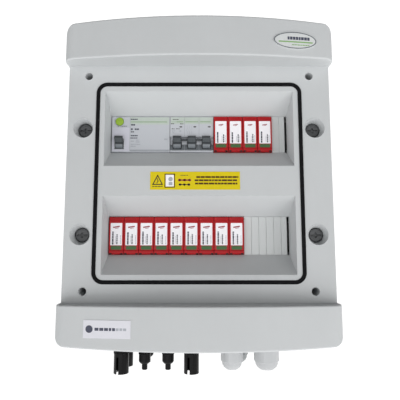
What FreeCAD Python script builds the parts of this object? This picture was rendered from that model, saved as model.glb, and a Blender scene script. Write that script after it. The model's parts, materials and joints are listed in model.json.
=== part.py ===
"""Wall-mounted solar combiner box: two windows of rail-mounted devices behind one cover.

The front faces -Y and the wall is at y = 0, +X is to the right seen from the front, +Z is up.
The origin is the centre of the back face.
"""
import FreeCAD, Part
import os
import re
import Sketcher

doc = FreeCAD.newDocument("combiner_box")
sheet = doc.addObject("Spreadsheet::Sheet", "dims")
nodes = []

SIZES = {
    # cover and base
    "overall_height": 372, "overall_depth": 145, "side_margin": 46, "base_depth": 80,
    "cover_wall": 3, "base_wall": 3.5, "outline_bow": 4, "rib_bow": 13.5, "rib_rise": 31,
    "waist_margin": 31.1, "waist_inset": 2.5, "corner_round": 14, "rib_edge": 2, "base_round": 10,
    "joint_gap": 0.5, "rim_width": 6, "rim_depth": 5.5, "gasket_width": 2.2, "gasket_depth": 2,
    # windows and rows
    "row_pitch": 125, "row_modules": 12, "module": 18, "module_gap": 0.5, "opening_play": 1.4,
    "opening_height": 46, "window_flare": 4.6, "window_height": 90, "window_depth": 28,
    "funnel_wall": 2, "nose_proud": 2, "nose_reach": 52, "nose_height": 45,
    "shoulder_reach": 44, "case_height": 86, "plug_proud": 4, "pocket_reach": 22,
    # rail, 35 mm top hat
    "rail_height": 35, "rail_channel": 25, "rail_rise": 7.5, "rail_metal": 1, "rail_spare": 8,
    "rail_screw_inset": 12, "rail_screw_radius": 2, "rail_head_radius": 4, "rail_head": 2.4,
    "hook_reach": 4.2, "hook_play": 0.3,
    # door seal
    "seal_margin": 10.6, "seal_side": 10.5, "seal_width": 4.6, "seal_groove": 2,
    "seal_proud": 1.2, "seal_round": 13,
    # cover screws and wall fixings
    "screw_edge": 21, "well_radius": 11.5, "well_depth": 17, "well_wall": 2,
    "screw_head_radius": 8.3, "screw_head": 6, "screw_shaft_radius": 4, "screw_play": 0.3,
    "screw_reach": 24, "post_radius": 7, "post_drop": 16.5, "sleeve_length": 18,
    "sleeve_bore": 4.6, "foot_radius": 4, "foot_length": 6, "slot_width": 2, "slot_depth": 2.4,
    "hole_edge": 26, "hole_inset": 12.6, "hole_radius": 4.5, "hole_wall": 2.6,
    "wall_screw_radius": 2.75, "boss_floor": 3,
    # switches
    "lever_width": 10, "lever_thick": 4, "lever_length": 12, "drum_radius": 5,
    "drum_drop": 3, "lever_play": 0.6, "lever_pocket": 12.4, "tie_thick": 2.4, "tie_reach": 7.2,
    "rcd_lever_side": 9.5, "rcd_lever_drop": 12.5, "mcb_lever_drop": 12.5,
    "notch_depth": 3, "notch_top": 3, "notch_foot": 20.5,
    "button_radius": 5, "button_side": 9.6, "button_height": 16, "button_proud": 1.5,
    "button_length": 9, "button_play": 0.3,
    # labels and plates
    "sticker_width": 104, "sticker_height": 21, "sticker_side": -4.5, "sticker_thick": 0.4,
    "badge_width": 50, "badge_height": 20, "badge_side": 110, "badge_drop": 4.3,
    "badge_thick": 1.2, "tag_width": 51, "tag_height": 18.5, "tag_side": -97,
    "tag_drop": 0.2, "tag_thick": 0.4,
    # blanking strips
    "strip_thick": 2, "strip_lip": 1.5, "strip_gap": 2, "strip_groove": 0.8,
    # solar connectors
    "plug_pitch": 28.7, "plug_last": -9.3, "front_row": 22, "back_row": 24,
    "plug_thread": 6, "plug_collar": 10.4, "plug_collar_height": 5, "plug_tail": 4.3,
    "plug_inside": 22, "plug_nut_flats": 8.5, "plug_nut": 4, "thread_play": 0.1,
    "socket_radius": 9.2, "socket_length": 47, "socket_bore": 6.4, "socket_slot": 2.6,
    "socket_depth": 24, "contact_radius": 2.2, "contact_length": 10,
    "spigot_radius": 7.2, "spigot_length": 33, "tip_radius": 3.45, "tip_length": 43, "tip_bore": 1.7,
    # cable glands
    "small_thread": 10, "small_nut_flats": 12.7, "large_thread": 12, "large_nut_flats": 14.3,
    "gland_flange": 5, "gland_sleeve": 27, "gland_length": 42, "gland_dome": 9,
    "gland_inside": 12, "locknut": 5, "gland_seal": 11, "gland_bore_wall": 3.4, "seal_wall": 2.8,
    "gland_a_side": 40.4, "gland_b_side": 82.9, "gland_c_side": 50.5,
    # terminal bars
    "bar_length": 100, "bar_height": 12, "bar_depth": 8, "bar_row_gap": 13, "bar_stand": 28,
    "bar_hole": 2.6, "bar_pitch": 9, "bar_screw_radius": 2.4,
}
for row, (alias, number) in enumerate(SIZES.items(), start=1):
    sheet.set(f"A{row}", str(number))
    sheet.setAlias(f"A{row}", alias)
doc.recompute()

# Places that follow from the sizes above.
OPENING = "(row_modules * module + opening_play)"
WIDTH = f"({OPENING} + window_flare + 2 * side_margin)"
HALF_WIDTH = f"({WIDTH} / 2)"
HALF_HEIGHT = "(overall_height / 2)"
PANEL = "(overall_depth - rib_rise)"
WAIST = "((row_pitch + window_height) / 2 + waist_margin)"
RIB_MIDDLE = f"(({HALF_HEIGHT} + {WAIST}) / 2)"
RIM = "(base_depth + joint_gap)"
LIP = f"({PANEL} - window_depth)"
FACE = f"({LIP} + nose_proud)"
RAIL = f"({FACE} - nose_reach)"
SHOULDER = f"({RAIL} + shoulder_reach)"
POCKET = f"({RAIL} + pocket_reach)"
ROW_START = "(-row_modules * module / 2)"
RIB_SIDE = f"({HALF_HEIGHT} - outline_bow - {WAIST} - rib_edge - 1)"
CORNER = f"(corner_round < {RIB_SIDE} ? corner_round : {RIB_SIDE})"
BASE_X = f"({HALF_WIDTH} - waist_inset - 1)"
BASE_Z = f"({HALF_HEIGHT} - outline_bow)"
SCREW_X = f"({HALF_WIDTH} - screw_edge)"
HOLE_X = f"({HALF_WIDTH} - hole_edge)"
HOLE_Z = f"({WAIST} - hole_inset)"
SEAT = f"({PANEL} - well_depth)"
POST_TOP = f"({SEAT} - well_wall - post_drop)"
OUTLINE_RADIUS = f"(({HALF_WIDTH} * {HALF_WIDTH} + outline_bow * outline_bow) / (2 * outline_bow))"
RIB_RADIUS = f"(({HALF_WIDTH} * {HALF_WIDTH} + rib_bow * rib_bow) / (2 * rib_bow))"
UPPER = "(row_pitch / 2)"
LOWER = "(-row_pitch / 2)"

TURN = {
    "X": FreeCAD.Rotation(FreeCAD.Vector(0, 0, 1), FreeCAD.Vector(1, 0, 0)),
    "Y": FreeCAD.Rotation(FreeCAD.Vector(0, 0, 1), FreeCAD.Vector(0, 1, 0)),
    "Z": FreeCAD.Rotation(),
}


def sized(text):
    """Turn the size names in an expression into references to the sheet."""
    return re.sub(r"[a-z][a-z_]*", lambda word: "dims." + word.group(0), str(text))


def value(text):
    """Work out an expression of size names as a number."""
    return float(sheet.evalExpression(sized(text)))


def bind(item, **links):
    """Bind properties of an object to expressions of size names."""
    for name, text in links.items():
        item.setExpression(name.replace("__", "."), sized(text))


def place(item, x="0", y="0", z="0"):
    """Bind an object's position to expressions of size names."""
    bind(item, Placement__Base__x=x, Placement__Base__y=y, Placement__Base__z=z)
    return item


def node(item, label):
    """Name a finished sub-part, which is exported under that name."""
    item.Label = label
    nodes.append(item)
    return item


def block(name, x, y, z):
    """A box between two expressions on each axis."""
    item = doc.addObject("Part::Box", name)
    bind(item, Length=f"({x[1]}) - ({x[0]})", Width=f"({y[1]}) - ({y[0]})",
         Height=f"({z[1]}) - ({z[0]})")
    return place(item, x[0], y[0], z[0])


def rod(name, axis, radius, start, stop, at):
    """A cylinder along one axis; at gives the two other coordinates in X, Y, Z order."""
    item = doc.addObject("Part::Cylinder", name)
    item.Placement = FreeCAD.Placement(FreeCAD.Vector(), TURN[axis])
    bind(item, Radius=radius, Height=f"({stop}) - ({start})")
    corner = list(at)
    corner.insert("XYZ".index(axis), start)
    return place(item, *corner)


def hexagon(name, flats, start, stop, at):
    """A six-sided prism along Z, given its distance from centre to flat."""
    item = doc.addObject("Part::Prism", name)
    item.Polygon = 6
    bind(item, Circumradius=f"({flats}) * 1.1547005", Height=f"({stop}) - ({start})")
    return place(item, at[0], at[1], start)


def fuse(name, *pieces):
    """Join pieces into one."""
    item = doc.addObject("Part::MultiFuse", name)
    item.Shapes = list(pieces)
    return item


def common(name, *pieces):
    """Keep what all the pieces share."""
    item = doc.addObject("Part::MultiCommon", name)
    item.Shapes = list(pieces)
    return item


def cut(name, base, *tools):
    """Take one or more tools away from a piece."""
    item = doc.addObject("Part::Cut", name)
    item.Base = base
    item.Tool = tools[0] if len(tools) == 1 else fuse(name + "_tools", *tools)
    return item


def gather(name, pieces):
    """Put identical separate pieces in one object."""
    item = doc.addObject("Part::Compound", name)
    item.Links = list(pieces)
    return item


def along(axis):
    """A test for straight edges that run along one axis."""
    def test(edge):
        ends = [vertex.Point for vertex in edge.Vertexes]
        if len(ends) < 2:
            return False
        run = ends[1] - ends[0]
        off_axis = [abs(part) for letter, part in zip("XYZ", run) if letter != axis]
        return max(off_axis) < 1e-4 and edge.Curve.TypeId == "Part::GeomLine"
    return test


def rounded(name, base, radius, *tests):
    """Fillet every edge that passes a test."""
    doc.recompute()
    size = value(radius)
    picked = [index for index, edge in enumerate(base.Shape.Edges, start=1)
              if any(test(edge) for test in tests)]
    item = doc.addObject("Part::Fillet", name)
    item.Base = base
    item.Edges = [(index, size, size) for index in picked]
    return item


def round_block(name, axis, radius, x, y, z):
    """A box with its edges along one axis rounded."""
    return rounded(name, block(name + "_box", x, y, z), radius, along(axis))


def polygon(body, role, points):
    """A closed sketch on one of a body's own planes, each corner bound to the sizes."""
    plane = next(item for item in body.Origin.OriginFeatures if item.Role == role)
    sketch = body.newObject("Sketcher::SketchObject", "profile")
    sketch.AttachmentSupport = [(plane, "")]
    sketch.MapMode = "FlatFace"
    corners = [(value(across), value(up)) for across, up in points]
    count = len(corners)
    for index, corner in enumerate(corners):
        following = corners[(index + 1) % count]
        sketch.addGeometry(Part.LineSegment(FreeCAD.Vector(*corner, 0),
                                            FreeCAD.Vector(*following, 0)))
    for index in range(count):
        sketch.addConstraint(Sketcher.Constraint("Coincident", index, 2, (index + 1) % count, 1))
    for index, (across, up) in enumerate(points):
        for kind, text, number in (("DistanceX", across, corners[index][0]),
                                   ("DistanceY", up, corners[index][1])):
            made = sketch.addConstraint(Sketcher.Constraint(kind, -1, 1, index, 1, number))
            sketch.setExpression(f"Constraints[{made}]", sized(text))
    return sketch


def padded(name, role, points, length):
    """A body padded from a polygon."""
    body = doc.addObject("PartDesign::Body", name)
    pad = body.newObject("PartDesign::Pad", "pad")
    pad.Profile = (polygon(body, role, points), [""])
    bind(pad, Length=length)
    return body


def turned(name, role, axis, points):
    """A body turned from a polygon about an axis of its sketch."""
    body = doc.addObject("PartDesign::Body", name)
    sketch = polygon(body, role, points)
    turn = body.newObject("PartDesign::Revolution", "turn")
    turn.Profile = (sketch, [""])
    turn.ReferenceAxis = (sketch, [axis])
    turn.Angle = 360
    return body


def pattern(x, z):
    """The four places of a rectangular pattern, with a name for each."""
    return [(f"{upper}_{side}", f"{sign_x} * {x}", f"{sign_z} * {z}")
            for upper, sign_z in (("upper", 1), ("lower", -1))
            for side, sign_x in (("left", -1), ("right", 1))]


# The cover's outside and inside, both bowed to the front, the top and the bottom.

def lump(name, inset, back):
    """The cover's bowed shape, smaller all round by inset, from its front to a plane."""
    across = f"({HALF_WIDTH} - {inset})"
    up = f"({HALF_HEIGHT} - {inset})"
    crown = f"-(overall_depth - {inset})"
    reach = "(overall_height + 20)"
    top = rod(name + "_top", "Y", f"{OUTLINE_RADIUS} - {inset}", "-(overall_depth + 20)", "20",
              ("0", f"{HALF_HEIGHT} - {OUTLINE_RADIUS}"))
    bottom = rod(name + "_bottom", "Y", f"{OUTLINE_RADIUS} - {inset}", "-(overall_depth + 20)",
                 "20", ("0", f"{OUTLINE_RADIUS} - {HALF_HEIGHT}"))
    slab = block(name + "_slab", (f"-{across}", across), (crown, back), (f"-{up}", up))
    outline = rounded(name + "_outline", common(name + "_bowed", slab, top, bottom),
                      f"{CORNER} - {inset}", along("Y"))
    front = rod(name + "_front", "Z", f"{RIB_RADIUS} - {inset}", f"-{reach}", reach,
                ("0", f"{RIB_RADIUS} - overall_depth"))
    post = block(name + "_post", (f"-{across}", across), (crown, back), (f"-{reach}", reach))
    middle = value(back) - 1

    def front_edge(edge):
        return along("Z")(edge) and edge.BoundBox.YMax < middle
    profile = rounded(name + "_profile", common(name + "_swept", post, front),
                      f"{CORNER} - {inset}", front_edge)
    return common(name, outline, profile)


def window(name, row, sides):
    """The sloping funnel of one window; sides is the wall added outside its clear shape."""
    item = doc.addObject("Part::Wedge", name)
    bind(item, Xmin=f"-{OPENING} / 2 - window_flare / 2 - {sides}",
         Xmax=f"{OPENING} / 2 + window_flare / 2 + {sides}",
         Zmin=f"-window_height / 2 - {sides}", Zmax=f"window_height / 2 + {sides}",
         X2min=f"-{OPENING} / 2 - {sides}", X2max=f"{OPENING} / 2 + {sides}",
         Z2min=f"-opening_height / 2 - {sides}", Z2max=f"opening_height / 2 + {sides}",
         Ymin=f"-{PANEL}", Ymax=f"-{LIP}")
    return place(item, z=row)


def rib_front(edge):
    """The edges round the front of each rib."""
    reach = edge.BoundBox.YMax + value(PANEL)
    if along("Z")(edge) or along("Y")(edge):
        return False
    return reach < 0.5 and (reach < -0.5 or edge.BoundBox.YLength > 0.5)


def front_cover():
    """Front cover with its ribs, windows, seal groove, screw wells and fixing tubes."""
    outside = lump("cover_outside", "0", f"-{RIM}")
    inside = lump("cover_inside", "cover_wall", f"-{RIM} + 5")
    step = f"({HALF_WIDTH} - waist_inset)"
    notches = []
    for name, gap in (("out", "0"), ("in", "cover_wall")):
        tall = f"({WAIST} + {gap})"
        deep = f"-({PANEL} - {gap})"
        inner = f"({step} - {gap})"
        notches.append((
            block(f"waist_{name}", (f"-{WIDTH}", WIDTH), ("-(overall_depth + 20)", deep),
                  (f"-{tall}", tall)),
            block(f"waist_left_{name}", (f"-{WIDTH}", f"-{inner}"), ("-overall_depth - 20", "20"),
                  (f"-{tall}", tall)),
            block(f"waist_right_{name}", (inner, WIDTH), ("-overall_depth - 20", "20"),
                  (f"-{tall}", tall))))
    outer = rounded("cover_soft", cut("cover_lump", outside, *notches[0]), "rib_edge", rib_front)
    hollow = cut("cover_hollow", inside, *notches[1])
    skin = cut("cover_skin", outer, hollow)
    rim_inner = (f"({BASE_X} - rim_width)", f"({BASE_Z} - rim_width)")
    rim = cut("cover_rim",
              block("rim_plate", (f"-{step} + 1", f"{step} - 1"), (f"-({RIM} + rim_depth)", f"-{RIM}"),
                    (f"-{BASE_Z}", BASE_Z)),
              block("rim_hole", (f"-{rim_inner[0]}", rim_inner[0]), (f"-{RIM} - 50", "0"),
                    (f"-{rim_inner[1]}", rim_inner[1])))
    solids = [skin, common("cover_rim_trimmed", rim, outer)]
    holes = []
    for name, row in (("upper", UPPER), ("lower", LOWER)):
        solids.append(window(f"funnel_{name}", row, "funnel_wall"))
        solids.append(block(f"lip_{name}", (f"-{OPENING} / 2 - funnel_wall", f"{OPENING} / 2 + funnel_wall"),
                            (f"-{LIP}", f"-{LIP} + funnel_wall"),
                            (f"{row} - opening_height / 2 - funnel_wall",
                             f"{row} + opening_height / 2 + funnel_wall")))
        holes.append(window(f"mouth_{name}", row, "0"))
        holes.append(block(f"slot_{name}", (f"-{OPENING} / 2", f"{OPENING} / 2"),
                           (f"-{LIP} - 1", f"-{LIP} + funnel_wall + 1"),
                           (f"{row} - opening_height / 2", f"{row} + opening_height / 2")))
    for name, x, z in pattern(SCREW_X, UPPER):
        solids.append(rod(f"well_{name}", "Y", "well_radius + well_wall", f"-{PANEL}",
                          f"-{SEAT} + well_wall", (x, z)))
        holes.append(rod(f"well_bore_{name}", "Y", "well_radius", f"-{PANEL} - 1", f"-{SEAT}", (x, z)))
        holes.append(rod(f"well_hole_{name}", "Y", "screw_shaft_radius + screw_play", f"-{PANEL}",
                         f"-{SEAT} + well_wall + 1", (x, z)))
    for name, x, z in pattern(HOLE_X, HOLE_Z):
        solids.append(rod(f"tube_{name}", "Y", "hole_radius + hole_wall", f"-{PANEL}", f"-{RIM}", (x, z)))
        holes.append(rod(f"tube_bore_{name}", "Y", "hole_radius", f"-{PANEL} - 1", f"-{RIM} + 1", (x, z)))
    holes.append(ring("seal_groove_cut", f"-{PANEL} - 1", f"-{PANEL} + seal_groove",
                      SEAL_X, SEAL_Z, "seal_width", "seal_round"))
    holes.append(ring("gasket_groove", f"-{RIM} - gasket_depth", f"-{RIM} + 1",
                      GASKET_X, GASKET_Z, "gasket_width", "base_round"))
    return node(cut("cover", fuse("cover_solids", *solids), *holes), "front_cover")


SEAL_X = f"({OPENING} / 2 + window_flare / 2 + seal_side)"
SEAL_Z = "((row_pitch + window_height) / 2 + seal_margin)"
GASKET_X = f"({BASE_X} - (base_wall - gasket_width) / 2)"
GASKET_Z = f"({BASE_Z} - (base_wall - gasket_width) / 2)"


def ring(name, front, back, x, z, width, radius):
    """A flat rounded frame around the middle, given its outer half sizes."""
    outer = round_block(name + "_outer", "Y", radius, (f"-{x}", x), (front, back), (f"-{z}", z))
    inner = round_block(name + "_inner", "Y", f"{radius} - {width}",
                        (f"-({x} - {width})", f"{x} - {width}"),
                        (f"{front} - 1", f"{back} + 1"), (f"-({z} - {width})", f"{z} - {width}"))
    return cut(name, outer, inner)


def base_box():
    """Base box with its posts, fixing tubes, rail stands and the holes in its bottom wall."""
    outer = round_block("base_outer", "Y", "base_round", (f"-{BASE_X}", BASE_X), ("-base_depth", "0"),
                        (f"-{BASE_Z}", BASE_Z))
    x = f"({BASE_X} - base_wall)"
    z = f"({BASE_Z} - base_wall)"
    inner = round_block("base_inner", "Y", "base_round - base_wall", (f"-{x}", x),
                        ("-base_depth - 1", "-base_wall"), (f"-{z}", z))
    solids = [cut("base_shell", outer, inner)]
    holes = []
    for name, x, z in pattern(SCREW_X, UPPER):
        foot = f"(-{POST_TOP} + sleeve_length)"
        solids.append(rod(f"post_{name}", "Y", "post_radius", foot, "-1", (x, z)))
        holes.append(rod(f"post_bore_{name}", "Y", "foot_radius + 0.1",
                         f"{foot} - 1", f"{foot} + foot_length + 0.5", (x, z)))
    for name, x, z in pattern(HOLE_X, HOLE_Z):
        solids.append(rod(f"base_tube_{name}", "Y", "hole_radius + hole_wall", "-base_depth", "-1", (x, z)))
        holes.append(rod(f"base_tube_bore_{name}", "Y", "hole_radius", "-base_depth - 1",
                         "-base_wall - boss_floor", (x, z)))
        holes.append(rod(f"wall_hole_{name}", "Y", "wall_screw_radius", "-base_depth", "1", (x, z)))
    for row_name, row in (("upper", UPPER), ("lower", LOWER)):
        for side, sign in (("left", "-1"), ("right", "1")):
            middle = f"{sign} * {RAIL_SCREW_X}"
            stand = f"-({RAIL} - rail_rise)"
            solids.append(block(f"stand_{row_name}_{side}", (f"{middle} - 8", f"{middle} + 8"),
                                (stand, "-1"), (f"{row} - 12", f"{row} + 12")))
            holes.append(rod(f"stand_bore_{row_name}_{side}", "Y", "rail_screw_radius + 0.05",
                             f"{stand} - 1", f"{stand} + 11", (middle, row)))
    for name, sign in (("upper", "1"), ("lower", "-1")):
        for side, shift in (("left", "-1"), ("right", "1")):
            middle = f"{shift} * (bar_length / 2 - 6)"
            solids.append(rod(f"bar_post_{name}_{side}", "Y", "5", "-bar_stand", "-1",
                              (middle, f"{sign} * {BAR_Z}")))
    for name, x, y, kind in CONNECTORS:
        holes.append(rod(f"knockout_{name}", "Z", "plug_thread + thread_play", f"-{BASE_Z} - 5",
                         f"-{BASE_Z} + base_wall + 5", (x, y)))
    for name, x, y, thread, flats in GLANDS:
        holes.append(rod(f"gland_hole_{name}", "Z", f"{thread} + thread_play", f"-{BASE_Z} - 5",
                         f"-{BASE_Z} + base_wall + 5", (x, y)))
    return node(cut("base", fuse("base_solids", *solids), *holes), "base_box")


RAIL_SCREW_X = "(row_modules * module / 2 + rail_spare - rail_screw_inset)"
BAR_Z = "(row_pitch / 2 + case_height / 2 + bar_row_gap + bar_height / 2)"
FRONT_ROW = "(-(base_depth - front_row))"
BACK_ROW = "(-back_row)"
CONNECTORS = [
    ("1", "(plug_last - 3 * plug_pitch)", FRONT_ROW, "socket"),
    ("2", "(plug_last - 2 * plug_pitch)", FRONT_ROW, "spigot"),
    ("3", "(plug_last - plug_pitch)", FRONT_ROW, "spigot"),
    ("4", "plug_last", FRONT_ROW, "socket"),
    ("5", "(plug_last - 3 * plug_pitch)", BACK_ROW, "socket"),
    ("6", "(plug_last - 2 * plug_pitch)", BACK_ROW, "spigot"),
]
GLANDS = [
    ("1", "gland_a_side", FRONT_ROW, "small_thread", "small_nut_flats"),
    ("2", "gland_b_side", FRONT_ROW, "large_thread", "large_nut_flats"),
    ("3", "gland_c_side", BACK_ROW, "small_thread", "small_nut_flats"),
]


def seals():
    """The door seal in the panel and the gasket between cover and base."""
    node(ring("door_ring", f"-{PANEL} - seal_proud", f"-{PANEL} + seal_groove", SEAL_X, SEAL_Z,
              "seal_width", "seal_round"), "door_seal")
    node(ring("gasket_ring", f"-{RIM} - gasket_depth", "-base_depth", GASKET_X, GASKET_Z,
              "gasket_width", "base_round"), "cover_gasket")


def cover_screws():
    """Quarter-turn screws that hold the cover, each with a slotted head."""
    for name, x, z in pattern(SCREW_X, UPPER):
        stud = turned(f"stud_{name}", "YZ_Plane", "H_Axis", [
            (f"-{SEAT} - screw_head", "0"), (f"-{SEAT} - screw_head", "screw_head_radius - 0.8"),
            (f"-{SEAT} - screw_head + 0.8", "screw_head_radius"), (f"-{SEAT}", "screw_head_radius"),
            (f"-{SEAT}", "screw_shaft_radius"), (f"-{SEAT} + screw_reach - 1", "screw_shaft_radius"),
            (f"-{SEAT} + screw_reach", "screw_shaft_radius - 1"), (f"-{SEAT} + screw_reach", "0")])
        place(stud, x, "0", z)
        slot = block(f"slot_of_{name}", (f"{x} - 6", f"{x} + 6"),
                     (f"-{SEAT} - screw_head - 1", f"-{SEAT} - screw_head + slot_depth"),
                     (f"{z} - slot_width / 2", f"{z} + slot_width / 2"))
        cross = block(f"cross_of_{name}", (f"{x} - slot_width / 2", f"{x} + slot_width / 2"),
                      (f"-{SEAT} - screw_head - 1", f"-{SEAT} - screw_head + slot_depth"),
                      (f"{z} - 3", f"{z} + 3"))
        node(cut(f"screw_{name}", stud, slot, cross), f"cover_screw_{name}")


def sleeves():
    """Four sleeves that stand on the base's posts and take the ends of the cover screws."""
    top = f"-{POST_TOP}"
    foot = f"({top} + sleeve_length)"
    items = []
    for name, x, z in pattern(SCREW_X, UPPER):
        items.append(place(turned(f"sleeve_{name}", "YZ_Plane", "H_Axis", [
            (top, "sleeve_bore"), (top, "post_radius"), (foot, "post_radius"), (foot, "foot_radius"),
            (f"{foot} + foot_length", "foot_radius"), (f"{foot} + foot_length", "0"),
            (f"{foot} - 1.5", "0"), (f"{foot} - 1.5", "sleeve_bore")]), x, "0", z))
    node(gather("sleeve_set", items), "screw_sleeves")


def rails():
    """Two top-hat rails and the screws that hold them."""
    face = f"-{RAIL}"
    back = f"-({RAIL} - rail_rise)"
    hat = [(face, "rail_height / 2"), (face, "rail_channel / 2 - rail_metal"),
           (f"{back} - rail_metal", "rail_channel / 2 - rail_metal"),
           (f"{back} - rail_metal", "-rail_channel / 2 + rail_metal"),
           (face, "-rail_channel / 2 + rail_metal"), (face, "-rail_height / 2"),
           (f"{face} + rail_metal", "-rail_height / 2"),
           (f"{face} + rail_metal", "-rail_channel / 2"), (back, "-rail_channel / 2"),
           (back, "rail_channel / 2"), (f"{face} + rail_metal", "rail_channel / 2"),
           (f"{face} + rail_metal", "rail_height / 2")]
    length = "(row_modules * module + 2 * rail_spare)"
    screws = []
    for name, row in (("upper", UPPER), ("lower", LOWER)):
        bar = place(padded(f"rail_blank_{name}", "YZ_Plane", hat, length), f"-{length} / 2", "0", row)
        holes = []
        for side, sign in (("left", "-1"), ("right", "1")):
            middle = f"{sign} * {RAIL_SCREW_X}"
            holes.append(rod(f"rail_hole_{name}_{side}", "Y", "rail_screw_radius + 0.1",
                             f"{face} - 1", "0", (middle, row)))
            under = f"{back} - rail_metal"
            screws.append(place(turned(f"rail_screw_{name}_{side}", "YZ_Plane", "H_Axis", [
                (f"{under} - rail_head", "0"), (f"{under} - rail_head", "rail_head_radius - 0.6"),
                (f"{under} - rail_head + 0.6", "rail_head_radius"), (under, "rail_head_radius"),
                (under, "rail_screw_radius"), (f"{back} + 9", "rail_screw_radius"),
                (f"{back} + 9", "0")]), middle, "0", row))
        node(cut(f"rail_{name}_drilled", bar, *holes), f"rail_{name}")
    node(gather("rail_fixings", screws), "rail_screws")


def hooked(front):
    """A device outline in Y and Z: its front corners, then the rail hooks at its back."""
    back = f"-{RAIL}"
    half = "rail_height / 2 + hook_play"
    hook = [(back, f"{half} + 4"), (f"{back} + hook_reach", f"{half} + 4"),
            (f"{back} + hook_reach", f"{half} - 2"), (f"{back} + rail_metal + 0.9", f"{half} - 2"),
            (f"{back} + rail_metal + 0.9", half), (back, half)]
    low = [(y, f"-({z})") for y, z in reversed(hook)]
    return [(back, "-case_height / 2"), *front, (back, "case_height / 2"), *hook, *low]


def device_case(name, start, count, row):
    """A rail-mounted device's case with its narrower nose, count modules wide."""
    front = [(f"-{SHOULDER}", "-case_height / 2"), (f"-{SHOULDER}", "-nose_height / 2"),
             (f"-{FACE} + 0.8", "-nose_height / 2"), (f"-{FACE}", "-nose_height / 2 + 0.8"),
             (f"-{FACE}", "nose_height / 2 - 0.8"), (f"-{FACE} + 0.8", "nose_height / 2"),
             (f"-{SHOULDER}", "nose_height / 2"), (f"-{SHOULDER}", "case_height / 2")]
    body = padded(name, "YZ_Plane", hooked(front), f"{count} * module - module_gap")
    return place(body, f"{ROW_START} + {start} * module + module_gap / 2", "0", row)


def lever(name, x, row):
    """One switch lever on its drum, tilted up; it turns about the drum's axis."""
    drum = rod(f"{name}_drum", "X", "drum_radius", f"{x} - lever_width / 2", f"{x} + lever_width / 2",
               (f"-{FACE} + drum_drop", row))
    arm = block(f"{name}_arm", ("-lever_width / 2", "lever_width / 2"), ("-lever_length", "0"),
                ("-lever_thick / 2", "lever_thick / 2"))
    arm.Placement = FreeCAD.Placement(FreeCAD.Vector(), FreeCAD.Rotation(FreeCAD.Vector(1, 0, 0), -40))
    tilt_y = 0.7660444
    tilt_z = 0.6427876
    place(arm, f"{x} - lever_width / 2",
          f"-{FACE} + drum_drop - lever_length * {tilt_y} - lever_thick / 2 * {tilt_z}",
          f"{row} + lever_length * {tilt_z} - lever_thick / 2 * {tilt_y}")
    return fuse(f"{name}_lever", drum, arm)


def lever_room(name, x, row):
    """The room a lever needs in the device's nose."""
    side = "(lever_width / 2 + lever_play)"
    pocket = block(f"{name}_pocket", (f"{x} - {side}", f"{x} + {side}"),
                   (f"-{FACE} - 1", f"-{FACE} + drum_drop + 1"),
                   (f"{row} - lever_pocket / 2", f"{row} + lever_pocket / 2"))
    drum = rod(f"{name}_room", "X", "drum_radius + lever_play", f"{x} - {side}", f"{x} + {side}",
               (f"-{FACE} + drum_drop", row))
    return [pocket, drum]


def residual_breaker():
    """Four-module residual-current breaker with its lever and test button."""
    case = device_case("rcd_blank", "0", "4", UPPER)
    lever_x = f"({ROW_START} + rcd_lever_side)"
    lever_z = f"({UPPER} - rcd_lever_drop)"
    button_x = f"({ROW_START} + button_side)"
    button_z = f"({UPPER} + button_height)"
    tools = lever_room("rcd", lever_x, lever_z)
    tools.append(rod("button_hole", "Y", "button_radius + button_play", f"-{FACE} - 1",
                     f"-{FACE} + button_length + 1", (button_x, button_z)))
    node(cut("rcd_cut", case, *tools), "rcd_case")
    node(lever("rcd", lever_x, lever_z), "rcd_toggle")
    button = turned("button_blank", "YZ_Plane", "H_Axis", [
        (f"-{FACE} - button_proud", "0"), (f"-{FACE} - button_proud", "button_radius - 0.5"),
        (f"-{FACE} - button_proud + 0.5", "button_radius"),
        (f"-{FACE} + button_length - button_proud", "button_radius"),
        (f"-{FACE} + button_length - button_proud", "0")])
    node(place(button, button_x, "0", button_z), "rcd_test_button")


def main_breaker():
    """Three-pole breaker whose three levers are tied together."""
    case = device_case("mcb_blank", "4", "3", UPPER)
    z = f"({UPPER} - mcb_lever_drop)"
    levers = []
    tools = []
    for pole in (1, 2, 3):
        x = f"({ROW_START} + ({pole} + 3.5) * module)"
        levers.append(lever(f"pole_{pole}", x, z))
        tools += lever_room(f"pole_{pole}", x, z)
    first = f"({ROW_START} + 4.5 * module)"
    last = f"({ROW_START} + 6.5 * module)"
    tie = block("tie_bar", (first, last),
                (f"-{FACE} + drum_drop - tie_reach * 0.7660444 - tie_thick / 2",
                 f"-{FACE} + drum_drop - tie_reach * 0.7660444 + tie_thick / 2"),
                (f"{z} + tie_reach * 0.6427876 - tie_thick / 2",
                 f"{z} + tie_reach * 0.6427876 + tie_thick / 2"))
    notch = padded("mcb_notch", "YZ_Plane", [
        (f"-{FACE} - 1", "-notch_top"), (f"-{FACE}", "-notch_top"),
        (f"-{FACE} + notch_depth", "-notch_top - 1.5"), (f"-{FACE} + notch_depth", "-mcb_lever_drop"),
        (f"-{FACE}", "-notch_foot"), (f"-{FACE} - 1", "-notch_foot")], "3 * module + 2")
    tools.append(place(notch, f"{ROW_START} + 4 * module - 1", "0", UPPER))
    node(cut("mcb_cut", case, *tools), "mcb_case")
    node(fuse("tied_levers", tie, *levers), "mcb_toggle")


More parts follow.
